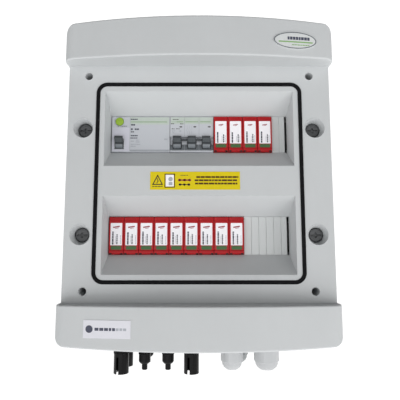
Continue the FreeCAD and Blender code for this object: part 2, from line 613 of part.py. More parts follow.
def surge_arresters():
    """Surge arresters: slotted bases on the rails and one pull-out cartridge per pole."""
    front = [(f"-{SHOULDER}", "-case_height / 2"), (f"-{SHOULDER}", "-opening_height / 2"),
             (f"-{POCKET}", "-opening_height / 2"), (f"-{POCKET}", "opening_height / 2"),
             (f"-{SHOULDER}", "opening_height / 2"), (f"-{SHOULDER}", "case_height / 2")]
    sets = [("upper", "upper", 7, 4, UPPER), ("lower_1", "lower", 0, 3, LOWER),
            ("lower_2", "lower", 3, 3, LOWER), ("lower_3", "lower", 6, 3, LOWER)]
    for name, row_name, start, count, row in sets:
        base = padded(f"surge_blank_{name}", "YZ_Plane", hooked(front), f"{count} * module - module_gap")
        node(place(base, f"{ROW_START} + {start} * module + module_gap / 2", "0", row), f"surge_base_{name}")
        for pole in range(count):
            number = start + pole + 1 - (7 if row_name == "upper" else 0)
            plug = padded(f"plug_{row_name}_{number}", "YZ_Plane", PLUG_SHAPE, "module - module_gap")
            place(plug, f"{ROW_START} + {start + pole} * module + module_gap / 2", "0", row)
            node(plug, f"surge_plug_{row_name}_{number}")


PLUG_FACE = f"({LIP} + plug_proud)"
PLUG_SHAPE = [
    (f"-{POCKET} - 0.3", "-nose_height / 2"), (f"-{PLUG_FACE} + 1.6", "-nose_height / 2"),
    (f"-{PLUG_FACE}", "-nose_height / 2 + 1.6"), (f"-{PLUG_FACE}", "-nose_height / 2 + 4.6"),
    (f"-{PLUG_FACE} + 0.7", "-nose_height / 2 + 4.9"), (f"-{PLUG_FACE} + 0.7", "-nose_height / 2 + 5.6"),
    (f"-{PLUG_FACE}", "-nose_height / 2 + 5.9"), (f"-{PLUG_FACE}", "nose_height / 2 - 5.5"),
    (f"-{PLUG_FACE} + 1", "nose_height / 2 - 4.5"), (f"-{PLUG_FACE} + 1", "nose_height / 2 - 1.2"),
    (f"-{PLUG_FACE} + 2.2", "nose_height / 2"), (f"-{POCKET} - 0.3", "nose_height / 2"),
]


def blanking_strips():
    """Clip-in strips that close the unused modules of each window."""
    for name, start, row in (("upper", 11, UPPER), ("lower", 9, LOWER)):
        left = f"({ROW_START} + {start} * module + 0.4)"
        right = f"(-({ROW_START}) - strip_gap)"
        plate = block(f"strip_{name}", (left, right), (f"-{LIP}", f"-{LIP} + strip_thick"),
                      (f"{row} - opening_height / 2 + 0.2", f"{row} + opening_height / 2 - 0.2"))
        flange = block(f"strip_flange_{name}", (left, right),
                       (f"-{LIP} + funnel_wall", f"-{LIP} + funnel_wall + strip_lip"),
                       (f"{row} - opening_height / 2 - 1.6", f"{row} + opening_height / 2 + 1.6"))
        grooves = [block(f"groove_{name}_{half}",
                         (f"{left} + {half} * module / 2 - 0.4", f"{left} + {half} * module / 2"),
                         (f"-{LIP} - 1", f"-{LIP} + strip_groove"), (f"{row} - 40", f"{row} + 40"))
                   for half in range(1, 2 * (round(value("row_modules")) - start))]
        node(cut(f"strip_cut_{name}", fuse(f"strip_whole_{name}", plate, flange), *grooves),
             f"blank_{name}")


def labels():
    """Thin sticker on the panel, and a badge and a label curved to the ribs."""
    node(block("sticker", ("sticker_side - sticker_width / 2", "sticker_side + sticker_width / 2"),
               (f"-{PANEL} - sticker_thick", f"-{PANEL}"), ("-sticker_height / 2", "sticker_height / 2")),
         "warning_sticker")
    oval = doc.addObject("Part::Ellipse", "badge_oval")
    oval.Placement = FreeCAD.Placement(FreeCAD.Vector(), FreeCAD.Rotation(FreeCAD.Vector(1, 0, 0), 90))
    bind(oval, MajorRadius="badge_width / 2", MinorRadius="badge_height / 2")
    place(oval, "badge_side", "-overall_depth + 15", f"{RIB_MIDDLE} - badge_drop")
    prism = doc.addObject("Part::Extrusion", "badge_prism")
    prism.Base = oval
    prism.DirMode = "Custom"
    prism.Dir = FreeCAD.Vector(0, -1, 0)
    prism.LengthFwd = 40
    prism.Solid = True
    tag = block("tag_prism", ("tag_side - tag_width / 2", "tag_side + tag_width / 2"),
                ("-overall_depth - 5", "-overall_depth + 15"),
                (f"-{RIB_MIDDLE} - tag_drop - tag_height / 2", f"-{RIB_MIDDLE} - tag_drop + tag_height / 2"))
    for name, shape, thick in (("badge_plate", prism, "badge_thick"), ("blank_label", tag, "tag_thick")):
        reach = "(overall_height + 20)"
        outer = rod(f"{name}_outer", "Z", f"{RIB_RADIUS} + {thick}", f"-{reach}", reach,
                    ("0", f"{RIB_RADIUS} - overall_depth"))
        inner = rod(f"{name}_inner", "Z", RIB_RADIUS, f"-{reach}", reach,
                    ("0", f"{RIB_RADIUS} - overall_depth"))
        node(cut(f"{name}_curved", common(f"{name}_slice", shape, outer), inner), name)


def connectors():
    """Solar connectors through the bottom wall, with the nuts that hold them inside."""
    low = f"-{BASE_Z}"
    inside = [("0", f"{low} + plug_inside"), ("plug_tail", f"{low} + plug_inside"),
              ("plug_tail", f"{low} + base_wall + plug_nut + 3"),
              ("plug_thread", f"{low} + base_wall + plug_nut + 3"), ("plug_thread", low),
              ("plug_collar", low), ("plug_collar", f"{low} - plug_collar_height")]
    socket = [("socket_radius", f"{low} - plug_collar_height"), ("socket_radius", f"{low} - socket_length"),
              ("socket_bore", f"{low} - socket_length"),
              ("socket_bore", f"{low} - socket_length + socket_depth"),
              ("contact_radius", f"{low} - socket_length + socket_depth"),
              ("contact_radius", f"{low} - socket_length + socket_depth + contact_length"),
              ("0", f"{low} - socket_length + socket_depth + contact_length")]
    spigot = [("spigot_radius", f"{low} - plug_collar_height"), ("spigot_radius", f"{low} - spigot_length"),
              ("spigot_radius - 2", f"{low} - spigot_length - 2.5"),
              ("tip_radius", f"{low} - spigot_length - 2.5"), ("tip_radius", f"{low} - tip_length + 0.6"),
              ("tip_radius - 0.6", f"{low} - tip_length"), ("tip_bore", f"{low} - tip_length"),
              ("tip_bore", f"{low} - tip_length + 12"), ("0", f"{low} - tip_length + 12")]
    nuts = []
    for name, x, y, kind in CONNECTORS:
        if kind == "socket":
            blank = place(turned(f"connector_{name}", "XZ_Plane", "V_Axis", inside + socket), x, y)
            slot = block(f"connector_slot_{name}",
                         (f"{x} - 3.4 - socket_slot / 2", f"{x} - 3.4 + socket_slot / 2"),
                         (f"{y} - 20", f"{y} + 20"),
                         (f"{low} - socket_length - 1", f"{low} - socket_length + 20"))
            item = cut(f"connector_cut_{name}", blank, slot)
        else:
            item = place(turned(f"connector_{name}", "XZ_Plane", "V_Axis", inside + spigot), x, y)
        node(item, f"pv_connector_{name}")
        top = f"{low} + base_wall"
        nuts.append(cut(f"connector_nut_{name}", hexagon(f"nut_hex_{name}", "plug_nut_flats", top,
                                                         f"{top} + plug_nut", (x, y)),
                        rod(f"nut_bore_{name}", "Z", "plug_thread + thread_play", f"{top} - 1",
                            f"{top} + plug_nut + 1", (x, y))))
    node(gather("connector_nut_set", nuts), "pv_connector_nuts")


def glands():
    """Cable glands: threaded body, locknut inside, domed clamping nut and rubber seal."""
    low = f"-{BASE_Z}"
    small = []
    for name, x, y, thread, flats in GLANDS:
        bore = f"({thread} - gland_bore_wall)"
        body = turned(f"gland_body_{name}", "XZ_Plane", "V_Axis", [
            (bore, f"{low} + gland_inside"), (thread, f"{low} + gland_inside"), (thread, low),
            (f"{flats} - 0.4", low), (f"{flats} - 0.4", f"{low} - gland_flange"),
            (f"{thread} - 1", f"{low} - gland_flange"), (f"{thread} - 1", f"{low} - gland_sleeve"),
            (bore, f"{low} - gland_sleeve")])
        node(place(body, x, y), f"gland_body_{name}")
        foot = f"{low} - gland_length"
        shape = turned(f"gland_shape_{name}", "XZ_Plane", "V_Axis", [
            (f"{thread} - 0.9", f"{low} - gland_flange - 0.2"),
            (f"{flats} + 0.9", f"{low} - gland_flange - 0.2"),
            (f"{flats} + 0.9", f"{foot} + gland_dome + 1"), (f"{flats} - 0.2", f"{foot} + gland_dome"),
            (f"{flats} - 0.9", f"{foot} + gland_dome * 0.62"),
            (f"{flats} - 2.4", f"{foot} + gland_dome * 0.3"),
            (f"{flats} - 4.6", f"{foot} + gland_dome * 0.08"), (f"{flats} - 5.6", foot),
            (f"{bore} - 0.6", foot), (f"{bore} - 0.6", f"{foot} + gland_dome * 0.5"),
            (f"{thread} - 0.9", f"{foot} + gland_dome")])
        place(shape, x, y)
        prism = hexagon(f"gland_hex_{name}", flats, f"{foot} - 1", f"{low} - gland_flange", (x, y))
        node(common(f"gland_nut_{name}", shape, prism), f"gland_nut_{name}")
        cable = f"({bore} - seal_wall)"
        seal = turned(f"gland_ring_{name}", "XZ_Plane", "V_Axis", [
            (cable, f"{low} - gland_sleeve - 2"), (f"{bore} - 0.1", f"{low} - gland_sleeve - 2"),
            (f"{bore} - 0.8", f"{low} - gland_sleeve - gland_seal"),
            (cable, f"{low} - gland_sleeve - gland_seal")])
        node(place(seal, x, y), f"gland_seal_{name}")
        top = f"{low} + base_wall"
        ring_nut = cut(f"locknut_{name}", hexagon(f"locknut_hex_{name}", f"{thread} + 3", top,
                                                  f"{top} + locknut", (x, y)),
                       rod(f"locknut_bore_{name}", "Z", f"{thread} + thread_play", f"{top} - 1",
                           f"{top} + locknut + 1", (x, y)))
        if thread == "small_thread":
            small.append(ring_nut)
        else:
            node(ring_nut, "gland_locknut_large")
    node(gather("small_locknuts", small), "gland_locknuts_small")


def terminal_bars():
    """Earth bar below the rows and neutral bar above them, with their clamping screws."""
    screws = []
    for name, label, sign in (("lower", "earth_bar", "-1"), ("upper", "neutral_bar", "1")):
        z = f"({sign} * {BAR_Z})"
        bar = block(f"bar_{name}", ("-bar_length / 2", "bar_length / 2"),
                    ("-bar_stand - bar_depth", "-bar_stand"),
                    (f"{z} - bar_height / 2", f"{z} + bar_height / 2"))
        holes = []
        for index in range(9):
            x = f"({index} - 4) * bar_pitch"
            holes.append(rod(f"wire_{name}_{index}", "Z", "bar_hole", f"{z} - 20", f"{z} + 20",
                             (x, "-bar_stand - bar_depth / 2")))
            front = "-bar_stand - bar_depth"
            screws.append(place(turned(f"clamp_{name}_{index}", "YZ_Plane", "H_Axis", [
                (f"{front} - 2", "0"), (f"{front} - 2", "bar_screw_radius - 0.4"),
                (f"{front} - 1.6", "bar_screw_radius"), (front, "bar_screw_radius"),
                (front, "0")]), x, "0", z))
        node(cut(f"bar_drilled_{name}", bar, *holes), label)
    node(gather("clamp_screws", screws), "bar_screws")


def finish():
    """Check every object and write one file per sub-part."""
    doc.recompute()
    for item in doc.Objects:
        if any(flag in item.State for flag in ("Invalid", "Error")):
            raise RuntimeError(f"{item.Name}: {item.State}")
    os.makedirs("parts", exist_ok=True)
    for item in nodes:
        shape = item.Shape
        if shape.isNull() or not shape.isValid() or not shape.Solids:
            raise RuntimeError(f"{item.Label} has no valid solid")
        shape.exportStep(f"parts/{item.Label}.step")


front_cover()
base_box()
seals()
cover_screws()
sleeves()
rails()
residual_breaker()
main_breaker()
surge_arresters()
blanking_strips()
labels()
connectors()
glands()
terminal_bars()
finish()
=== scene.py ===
"""A wall-mounted combiner box for solar panels, dressed over its fixed frame.

The fields of the classes are millimetres in the box's own frame: X to the right,
Y to the wall and Z up, with the origin in the middle of the back face.
"""

import json
import logging
import math
import random
from dataclasses import dataclass
from enum import Enum
from typing import Callable

import bmesh
import bpy
from mathutils import Matrix, Vector

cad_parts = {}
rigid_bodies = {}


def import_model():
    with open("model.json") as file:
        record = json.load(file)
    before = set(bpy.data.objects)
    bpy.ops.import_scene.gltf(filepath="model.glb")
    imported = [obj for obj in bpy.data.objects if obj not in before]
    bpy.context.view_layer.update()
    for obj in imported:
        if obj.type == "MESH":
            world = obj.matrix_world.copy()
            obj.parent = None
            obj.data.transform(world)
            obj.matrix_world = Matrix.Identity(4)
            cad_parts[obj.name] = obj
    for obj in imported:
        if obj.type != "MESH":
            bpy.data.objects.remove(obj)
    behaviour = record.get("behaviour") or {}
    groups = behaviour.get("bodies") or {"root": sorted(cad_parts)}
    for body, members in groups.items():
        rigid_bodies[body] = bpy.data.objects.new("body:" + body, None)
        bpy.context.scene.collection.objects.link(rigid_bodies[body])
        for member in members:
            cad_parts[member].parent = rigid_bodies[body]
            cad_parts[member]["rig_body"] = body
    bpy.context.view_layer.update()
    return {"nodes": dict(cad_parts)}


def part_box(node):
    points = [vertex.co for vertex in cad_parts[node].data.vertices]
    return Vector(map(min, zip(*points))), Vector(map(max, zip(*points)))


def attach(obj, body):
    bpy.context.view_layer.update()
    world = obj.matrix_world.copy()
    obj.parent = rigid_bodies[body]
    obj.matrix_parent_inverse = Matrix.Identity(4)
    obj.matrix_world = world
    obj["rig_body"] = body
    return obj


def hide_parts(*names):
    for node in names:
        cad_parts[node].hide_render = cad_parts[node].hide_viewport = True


MM = 0.001
MODULE = 18.0  # width of one module of a rail-mounted device
NOSE = -88.0  # face of the devices' noses
SHOULDER = -80.0  # face of the steps that hold their clamps
PANEL = -113.6  # just under the face of the cover's panel
SUNK = 0.05  # how far a printed mark reaches into its face
BOX_FACES = ((0, 1, 3, 2), (4, 6, 7, 5), (0, 4, 5, 1), (2, 3, 7, 6), (0, 2, 6, 4), (1, 5, 7, 3))
LAID = {"X": lambda a, b, c: (c, a, b), "Y": lambda a, b, c: (a, c, b), "Z": lambda a, b, c: (a, b, c)}
Colour = tuple[float, float, float]
Point = tuple[float, float]
Depth = Callable[[float], float]

log = logging.getLogger("combiner_box")
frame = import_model()


# Finishes


class Wiring:
    """The shader nodes of one material, with short ways to add and join them."""

    def __init__(self, name: str) -> None:
        """Starts a material that holds only its shader and its output.

        Args:
            name: The material's name.
        """
        self.material = bpy.data.materials.new(name)
        self.material.use_nodes = True
        self.tree = self.material.node_tree
        self.shader = next(n for n in self.tree.nodes if n.type == "BSDF_PRINCIPLED")
        self.place = self.add("ShaderNodeTexCoord").outputs["Object"]

    def add(self, kind: str, **settings: object) -> bpy.types.Node:
        """Adds a node.

        Args:
            kind: The node's type name.
            settings: Attributes of the node.

        Returns:
            The new node.
        """
        node = self.tree.nodes.new(kind)
        for key, wanted in settings.items():
            setattr(node, key, wanted)
        return node

    def join(self, start: bpy.types.NodeSocket, end: bpy.types.NodeSocket) -> None:
        """Links an output to an input."""
        self.tree.links.new(start, end)

    def noise(self, size: float, detail: float = 3.0, stretch: Colour = (1, 1, 1),
              shift: float = 0.0) -> bpy.types.NodeSocket:
        """Adds noise whose patches are about size millimetres wide.

        Args:
            size: Width of a patch, in millimetres.
            detail: Number of finer layers.
            stretch: How much longer the patches are along X, Y and Z.
            shift: Moves the pattern, so that two noises differ.

        Returns:
            The noise's value.
        """
        mapping = self.add("ShaderNodeMapping")
        mapping.inputs["Location"].default_value = (shift, shift * 0.7, -shift)
        mapping.inputs["Scale"].default_value = tuple(1 / s for s in stretch)
        pattern = self.add("ShaderNodeTexNoise")
        pattern.inputs["Scale"].default_value = 1 / (size * MM)
        pattern.inputs["Detail"].default_value = detail
        self.join(self.place, mapping.inputs["Vector"])
        self.join(mapping.outputs["Vector"], pattern.inputs["Vector"])
        return pattern.outputs["Fac"]

    def spread(self, value: bpy.types.NodeSocket, low: float, high: float,
               start: float = 0.3, stop: float = 0.7) -> bpy.types.NodeSocket:
        """Maps start..stop of a value to low..high.

        Args:
            value: The value to map.
            low: Result at start.
            high: Result at stop.
            start: Value that gives low.
            stop: Value that gives high.

        Returns:
            The mapped value.
        """
        node = self.add("ShaderNodeMapRange")
        node.inputs["From Min"].default_value = start
        node.inputs["From Max"].default_value = stop
        node.inputs["To Min"].default_value = low
        node.inputs["To Max"].default_value = high
        self.join(value, node.inputs["Value"])
        return node.outputs["Result"]

    def blend(self, share: bpy.types.NodeSocket, first: Colour | bpy.types.NodeSocket,
              second: Colour | bpy.types.NodeSocket) -> bpy.types.NodeSocket:
        """Mixes two colours.

        Args:
            share: How much of the second colour shows.
            first: A colour, or the output that gives it.
            second: A colour, or the output that gives it.

        Returns:
            The mixed colour.
        """
        node = self.add("ShaderNodeMix", data_type="RGBA")
        sockets = [s for s in node.inputs if s.type == "RGBA"]
        for socket, colour in zip(sockets, (first, second)):
            if isinstance(colour, tuple):
                socket.default_value = (*colour, 1)
            else:
                self.join(colour, socket)
        self.join(share, node.inputs["Factor"])
        return next(s for s in node.outputs if s.type == "RGBA")

    def bump(self, height: bpy.types.NodeSocket, strength: float, depth: float) -> None:
        """Raises the surface by a height.

        Args:
            height: The height, 0 to 1.
            strength: How much of the bump shows.
            depth: The height of 1, in millimetres.
        """
        node = self.add("ShaderNodeBump")
        node.inputs["Strength"].default_value = strength
        node.inputs["Distance"].default_value = depth * MM
        self.join(height, node.inputs["Height"])
        earlier = self.shader.inputs["Normal"].links
        if earlier:
            self.join(earlier[0].from_socket, node.inputs["Normal"])
        self.join(node.outputs["Normal"], self.shader.inputs["Normal"])

    def mottled(self, pattern: bpy.types.NodeSocket, colour: Colour, dark: float,
                light: float) -> bpy.types.NodeSocket:
        """Varies how light a colour is with a pattern.

        Args:
            pattern: The pattern, such as noise.
            colour: The colour.
            dark: Factor of its darkest patches.
            light: Factor of its lightest patches.

        Returns:
            The colour.
        """
        return self.blend(self.spread(pattern, 0, 1), tone(colour, dark), tone(colour, light))

    def tint(self, colour: bpy.types.NodeSocket) -> None:
        """Gives the surface its colour."""
        self.join(colour, self.shader.inputs["Base Color"])

    def sheen(self, pattern: bpy.types.NodeSocket, low: float, high: float) -> None:
        """Lets the roughness go from low to high with a pattern."""
        self.join(self.spread(pattern, low, high), self.shader.inputs["Roughness"])


def tone(colour: Colour, factor: float) -> Colour:
    """A colour made lighter or darker by a factor."""
    return tuple(min(1.0, c * factor) for c in colour)


@dataclass(frozen=True)
class MouldedPlastic:
    """Injection-moulded plastic: a fine spark-eroded grain over an even colour."""

    name: str
    colour: Colour
    roughness: float = 0.48
    grain: float = 0.45
    relief: float = 0.18
    mottle: float = 0.025
    gloss: float = 0.45
    coat: float = 0.0

    def make(self) -> bpy.types.Material:
        """Builds the material.

        Returns:
            The material.
        """
        wiring = Wiring(self.name)
        shader = wiring.shader
        shader.inputs["Specular IOR Level"].default_value = self.gloss
        shader.inputs["Coat Weight"].default_value = self.coat
        shader.inputs["Coat Roughness"].default_value = 0.12
        broad = wiring.noise(size=55, detail=2)
        flow = wiring.noise(size=9, stretch=(1, 1, 3), shift=0.31)
        body = wiring.mottled(broad, self.colour, 1 - self.mottle, 1 + self.mottle)
        fleck = wiring.spread(flow, 0, 0.35)
        wiring.tint(wiring.blend(fleck, body, tone(self.colour, 1 - 2 * self.mottle)))
        wiring.sheen(flow, self.roughness - 0.05, self.roughness + 0.06)
        wiring.bump(wiring.noise(self.grain, detail=2), self.relief, depth=0.03)
        wiring.bump(wiring.noise(size=14, detail=2, shift=0.8), strength=0.05, depth=0.12)
        return wiring.material


@dataclass(frozen=True)
class Rubber:
    """Soft black rubber with a dusty, slightly pitted skin."""

    name: str
    colour: Colour = (0.016, 0.016, 0.017)
    roughness: float = 0.66
    gloss: float = 0.3

    def make(self) -> bpy.types.Material:
        """Builds the material.

        Returns:
            The material.
        """
        wiring = Wiring(self.name)
        wiring.shader.inputs["Specular IOR Level"].default_value = self.gloss
        dust = wiring.spread(wiring.noise(size=6, detail=4), 0, 0.5, start=0.45, stop=0.8)
        wiring.tint(wiring.blend(dust, self.colour, tone(self.colour, 2.4)))
        wiring.sheen(wiring.noise(size=2.2), self.roughness - 0.1, self.roughness + 0.1)
        wiring.bump(wiring.noise(size=0.7), strength=0.3, depth=0.05)
        return wiring.material


@dataclass(frozen=True)
class PlatedMetal:
    """Plated or drawn metal with faint streaks along its length."""

    name: str
    colour: Colour
    roughness: float = 0.3
    stretch: Colour = (12, 1, 1)
    spangle: float = 0.0

    def make(self) -> bpy.types.Material:
        """Builds the material.

        Returns:
            The material.
        """
        wiring = Wiring(self.name)
        wiring.shader.inputs["Metallic"].default_value = 1.0
        streaks = wiring.noise(size=0.6, stretch=self.stretch)
        cloud = wiring.noise(size=11, shift=0.4)
        base = wiring.mottled(streaks, self.colour, 0.82, 1.08)
        if self.spangle:
            cells = wiring.add("ShaderNodeTexVoronoi")
            cells.inputs["Scale"].default_value = 1 / (5 * MM)
            wiring.join(wiring.place, cells.inputs["Vector"])
            flake = wiring.spread(cells.outputs["Distance"], 0, self.spangle, start=0, stop=0.8)
            base = wiring.blend(flake, base, tone(self.colour, 0.6))
        wiring.tint(base)
        wiring.sheen(cloud, self.roughness - 0.07, self.roughness + 0.12)
        wiring.bump(streaks, strength=0.12, depth=0.02)
        return wiring.material


@dataclass(frozen=True)
class PrintedFilm:
    """A thin printed film or paint: even colour, slightly uneven sheen."""

    name: str
    colour: Colour
    roughness: float = 0.36
    mottle: float = 0.03
    gloss: float = 0.4

    def make(self) -> bpy.types.Material:
        """Builds the material.

        Returns:
            The material.
        """
        wiring = Wiring(self.name)
        wiring.shader.inputs["Specular IOR Level"].default_value = self.gloss
        cloud = wiring.noise(size=7)
        wiring.tint(wiring.mottled(cloud, self.colour, 1 - self.mottle, 1 + self.mottle))
        wiring.sheen(cloud, self.roughness - 0.05, self.roughness + 0.08)
        wiring.bump(wiring.noise(size=0.25, detail=2), strength=0.08, depth=0.01)
        return wiring.material


Finish = MouldedPlastic | Rubber | PlatedMetal | PrintedFilm


class Look(Enum):
    """Every finish on the box."""

    HOUSING = MouldedPlastic("housing_grey", (0.558, 0.575, 0.583), 0.5, 0.5, 0.2, 0.015, 0.3)
    SEAL = Rubber("seal_rubber", (0.005, 0.005, 0.006), 0.75, 0.12)
    GLAND_RUBBER = Rubber("gland_rubber", (0.022, 0.022, 0.024), 0.6)
    SCREW_CAP = MouldedPlastic("screw_cap_grey", (0.085, 0.088, 0.092), 0.3, 0.4, 0.25, 0.06)
    RAIL = PlatedMetal("galvanised_rail", (0.63, 0.65, 0.67), 0.32, (14, 1, 1), 0.5)
    ZINC = PlatedMetal("zinc_screw", (0.62, 0.62, 0.6), 0.28, (1, 1, 1))
    BRASS = PlatedMetal("machined_brass", (0.72, 0.53, 0.22), 0.26, (18, 1, 1))
    DEVICE = MouldedPlastic("device_pale_grey", (0.53, 0.55, 0.585), 0.45, 0.35, 0.12, 0.012, 0.3)
    DEVICE_LILAC = PrintedFilm("device_left_field", (0.6, 0.6, 0.67), 0.42, 0.02, 0.25)
    DEVICE_EDGE = PrintedFilm("device_edge_grey", (0.17, 0.185, 0.2), 0.5, 0.04, 0.25)
    # Grey of the joints between modules; also painted shade along the breaker's lower edge.
    DEVICE_SHADE = PrintedFilm("device_joint_and_shade_grey", (0.36, 0.38, 0.41), 0.5, 0.03, 0.25)
    GREEN_FIELD = PrintedFilm("device_green_field", (0.5, 0.56, 0.51), 0.42, 0.02, 0.25)
    LEVER_RIDGE = MouldedPlastic("lever_ridge_grey", (0.115, 0.13, 0.14), 0.34, 0.35, 0.12, 0.05)
    INK_DARK = PrintedFilm("ink_blue_black", (0.035, 0.038, 0.06), 0.5, 0.1, 0.2)
    LEVER = MouldedPlastic("lever_charcoal", (0.05, 0.056, 0.062), 0.36, 0.35, 0.15, 0.05)
    LEVER_DRUM = MouldedPlastic("lever_drum_grey", (0.2, 0.22, 0.24), 0.4, 0.35, 0.15, 0.04)
    BUTTON = MouldedPlastic("button_lime", (0.29, 0.46, 0.035), 0.3, 0.5, 0.06, 0.03, 0.4, 0.2)
    RED = MouldedPlastic("cartridge_red", (0.43, 0.010, 0.014), 0.4, 0.4, 0.1, 0.03, 0.28)
    DARK_RED = MouldedPlastic("arrester_base_red", (0.21, 0.012, 0.018), 0.45, 0.4, 0.12, 0.05)
    LABEL = PrintedFilm("label_white", (0.93, 0.915, 0.95), 0.42, 0.015, 0.25)
    FLAG = MouldedPlastic("status_green", (0.05, 0.13, 0.04), 0.3, 0.6, 0.05, 0.1, 0.3, 0.3)
    FLAG_FRAME = MouldedPlastic("status_frame", (0.3, 0.03, 0.02), 0.35, 0.4, 0.08, 0.05)
    STRIP = MouldedPlastic("strip_grey", (0.59, 0.61, 0.61), 0.5, 0.45, 0.18, 0.015)
    YELLOW = PrintedFilm("sticker_yellow", (0.7, 0.56, 0.006), 0.42, 0.03, 0.2)
    INK_BLACK = PrintedFilm("ink_black", (0.03, 0.026, 0.02), 0.5, 0.1)
    INK_BROWN = PrintedFilm("ink_brown", (0.085, 0.04, 0.008), 0.5, 0.1, 0.2)
    INK_RED = PrintedFilm("ink_red", (0.33, 0.045, 0.06), 0.5, 0.08, 0.2)
    INK_GREY = PrintedFilm("ink_grey", (0.09, 0.095, 0.12), 0.5, 0.08, 0.2)
    INK_PALE = PrintedFilm("ink_pale_grey", (0.4, 0.42, 0.46), 0.5, 0.06)
    INK_GREEN = PrintedFilm("ink_green", (0.24, 0.42, 0.16), 0.45, 0.05)
    PALE_GREEN = PrintedFilm("ink_pale_green", (0.30, 0.41, 0.27), 0.42, 0.04, 0.3)
    INK_SLATE = PrintedFilm("ink_slate", (0.075, 0.08, 0.115), 0.45, 0.06, 0.25)
    BADGE = PrintedFilm("badge_silver_white", (0.66, 0.68, 0.68), 0.28, 0.02, 0.5)
    TAG = PrintedFilm("tag_white", (0.71, 0.71, 0.76), 0.36, 0.015)
    CONNECTOR = MouldedPlastic("connector_black", (0.004, 0.004, 0.0045), 0.3, 0.5, 0.12, 0.1, 0.12)
    GLAND = MouldedPlastic("gland_grey", (0.47, 0.48, 0.49), 0.42, 0.4, 0.12, 0.015)
    # A darker copy of the gland grey, for the gland at the back: painted shade.
    GLAND_PAINTED_SHADE = MouldedPlastic("gland_grey_painted_shade", (0.3, 0.315, 0.32), 0.45, 0.4, 0.12, 0.02)
    # Near-black painted shade, laid in slots, holes and mouths where only shade falls.
    PAINTED_SHADE = MouldedPlastic("painted_recess_shade", (0.008, 0.008, 0.009), 0.6, 0.5, 0.1, 0.1, 0.3)
    CLAMP = PlatedMetal("clamp_steel", (0.5, 0.5, 0.5), 0.35, (1, 1, 6))
    CONTACT = PlatedMetal("tinned_contact", (0.7, 0.69, 0.66), 0.24, (1, 1, 8))


class Paintbox:
    """Makes each finish's material once."""

    made: dict[Look, bpy.types.Material] = {}

    @classmethod
    def material(cls, look: Look) -> bpy.types.Material:
        """The material of a finish.

        Args:
            look: The finish.

        Returns:
            Its material.
        """
        if look not in cls.made:
            cls.made[look] = look.value.make()
        return cls.made[look]


# Shapes


@dataclass(frozen=True)
class Extent:
    """The box round a node of the frame, in millimetres."""

    x0: float
    y0: float
    z0: float
    x1: float
    y1: float
    z1: float

    @classmethod
    def of(cls, node: str) -> "Extent":
        """The box round a node.

        Args:
            node: The node's name.

        Returns:
            Its extent.
        """
        low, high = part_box(node)
        return cls(*(v / MM for v in low), *(v / MM for v in high))

    @property
    def x(self) -> float:
        """The middle, across."""
        return (self.x0 + self.x1) / 2

    @property
    def y(self) -> float:
        """The middle, from front to back."""
        return (self.y0 + self.y1) / 2

    @property
    def z(self) -> float:
        """The middle, upwards."""
        return (self.z0 + self.z1) / 2


class Shape:
    """Solids gathered in one mesh, given in millimetres."""

    def __init__(self) -> None:
        """Starts an empty mesh."""
        self.mesh = bmesh.new()

    def prism(self, outline: list[Point], low: float, high: float, axis: str = "Y",
              at: Vector | None = None, turn: Matrix | None = None) -> None:
        """Adds an outline drawn out along an axis.

        Args:
            outline: Corners of the outline: (x, z) for axis Y, (y, z) for X and (x, y) for Z.
            low: Start along the axis.
            high: End along the axis.
            axis: X, Y or Z.
            at: A shift, after the turn.
            turn: A rotation.
        """
        place = LAID[axis]
        rings = []
        for along in (low, high):
            ring = []
            for a, b in outline:
                spot = Vector(place(a, b, along))
                if turn is not None:
                    spot = turn @ spot
                if at is not None:
                    spot = spot + at
                ring.append(self.mesh.verts.new(spot * MM))
            rings.append(ring)
        count = len(outline)
        self.mesh.faces.new(rings[0])
        self.mesh.faces.new(list(reversed(rings[1])))
        for i in range(count):
            j = (i + 1) % count
            self.mesh.faces.new((rings[0][j], rings[0][i], rings[1][i], rings[1][j]))

    def turned(self, profile: list[Point], at: tuple[float, float, float], axis: str = "Y",
               steps: int = 32, ring: bool = False) -> None:
        """Adds a solid of revolution.

        Args:
            profile: (radius, distance along the axis) from one end to the other.
            at: Where the axis starts.
            axis: X, Y or Z.
            steps: Number of sides.
            ring: Whether the profile closes on itself and leaves the middle open.
        """
        place = LAID[axis]
        rings = []
        for radius, along in profile:
            if radius < 1e-6:
                rings.append([self.mesh.verts.new((Vector(place(0, 0, along)) + Vector(at)) * MM)])
                continue
            circle = []
            for i in range(steps):
                angle = 2 * math.pi * i / steps
                spot = Vector(place(radius * math.cos(angle), radius * math.sin(angle), along))
                circle.append(self.mesh.verts.new((spot + Vector(at)) * MM))
            rings.append(circle)
        for lower, upper in zip(rings, rings[1:] + rings[:1] if ring else rings[1:]):
            for i in range(steps):
                j = (i + 1) % steps
                corners = [lower[i % len(lower)], lower[j % len(lower)],
                           upper[j % len(upper)], upper[i % len(upper)]]
                unique = list(dict.fromkeys(corners))
                if len(unique) > 2:
                    self.mesh.faces.new(unique)
        if not ring:
            for end in (rings[0], rings[-1]):
                if len(end) > 1:
                    self.mesh.faces.new(end)

    def block(self, x: Point, y: Point, z: Point, round_by: float = 0.0) -> None:
        """Adds a block whose corners, seen from the front, may be rounded.

        Args:
            x: Left and right.
            y: Front and back.
            z: Bottom and top.
            round_by: Radius of the corners.
        """
        self.prism(rounded_outline(x, z, round_by), y[0], y[1])

    def piece(self, name: str, body: str, look: Look, slot: str, ease: float = 0.0) -> None:
        """Turns the mesh into an object that rides on a body.

        Args:
            name: The object's name.
            body: The body that it rides on.
            look: Its finish.
            slot: Not used.
            ease: Width of the eased edges, or 0.
        """
        thing = as_object(self.mesh, name)
        dress(thing, look, ease)
        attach(thing, body)
        log.info("%s rides on %s", name, body)


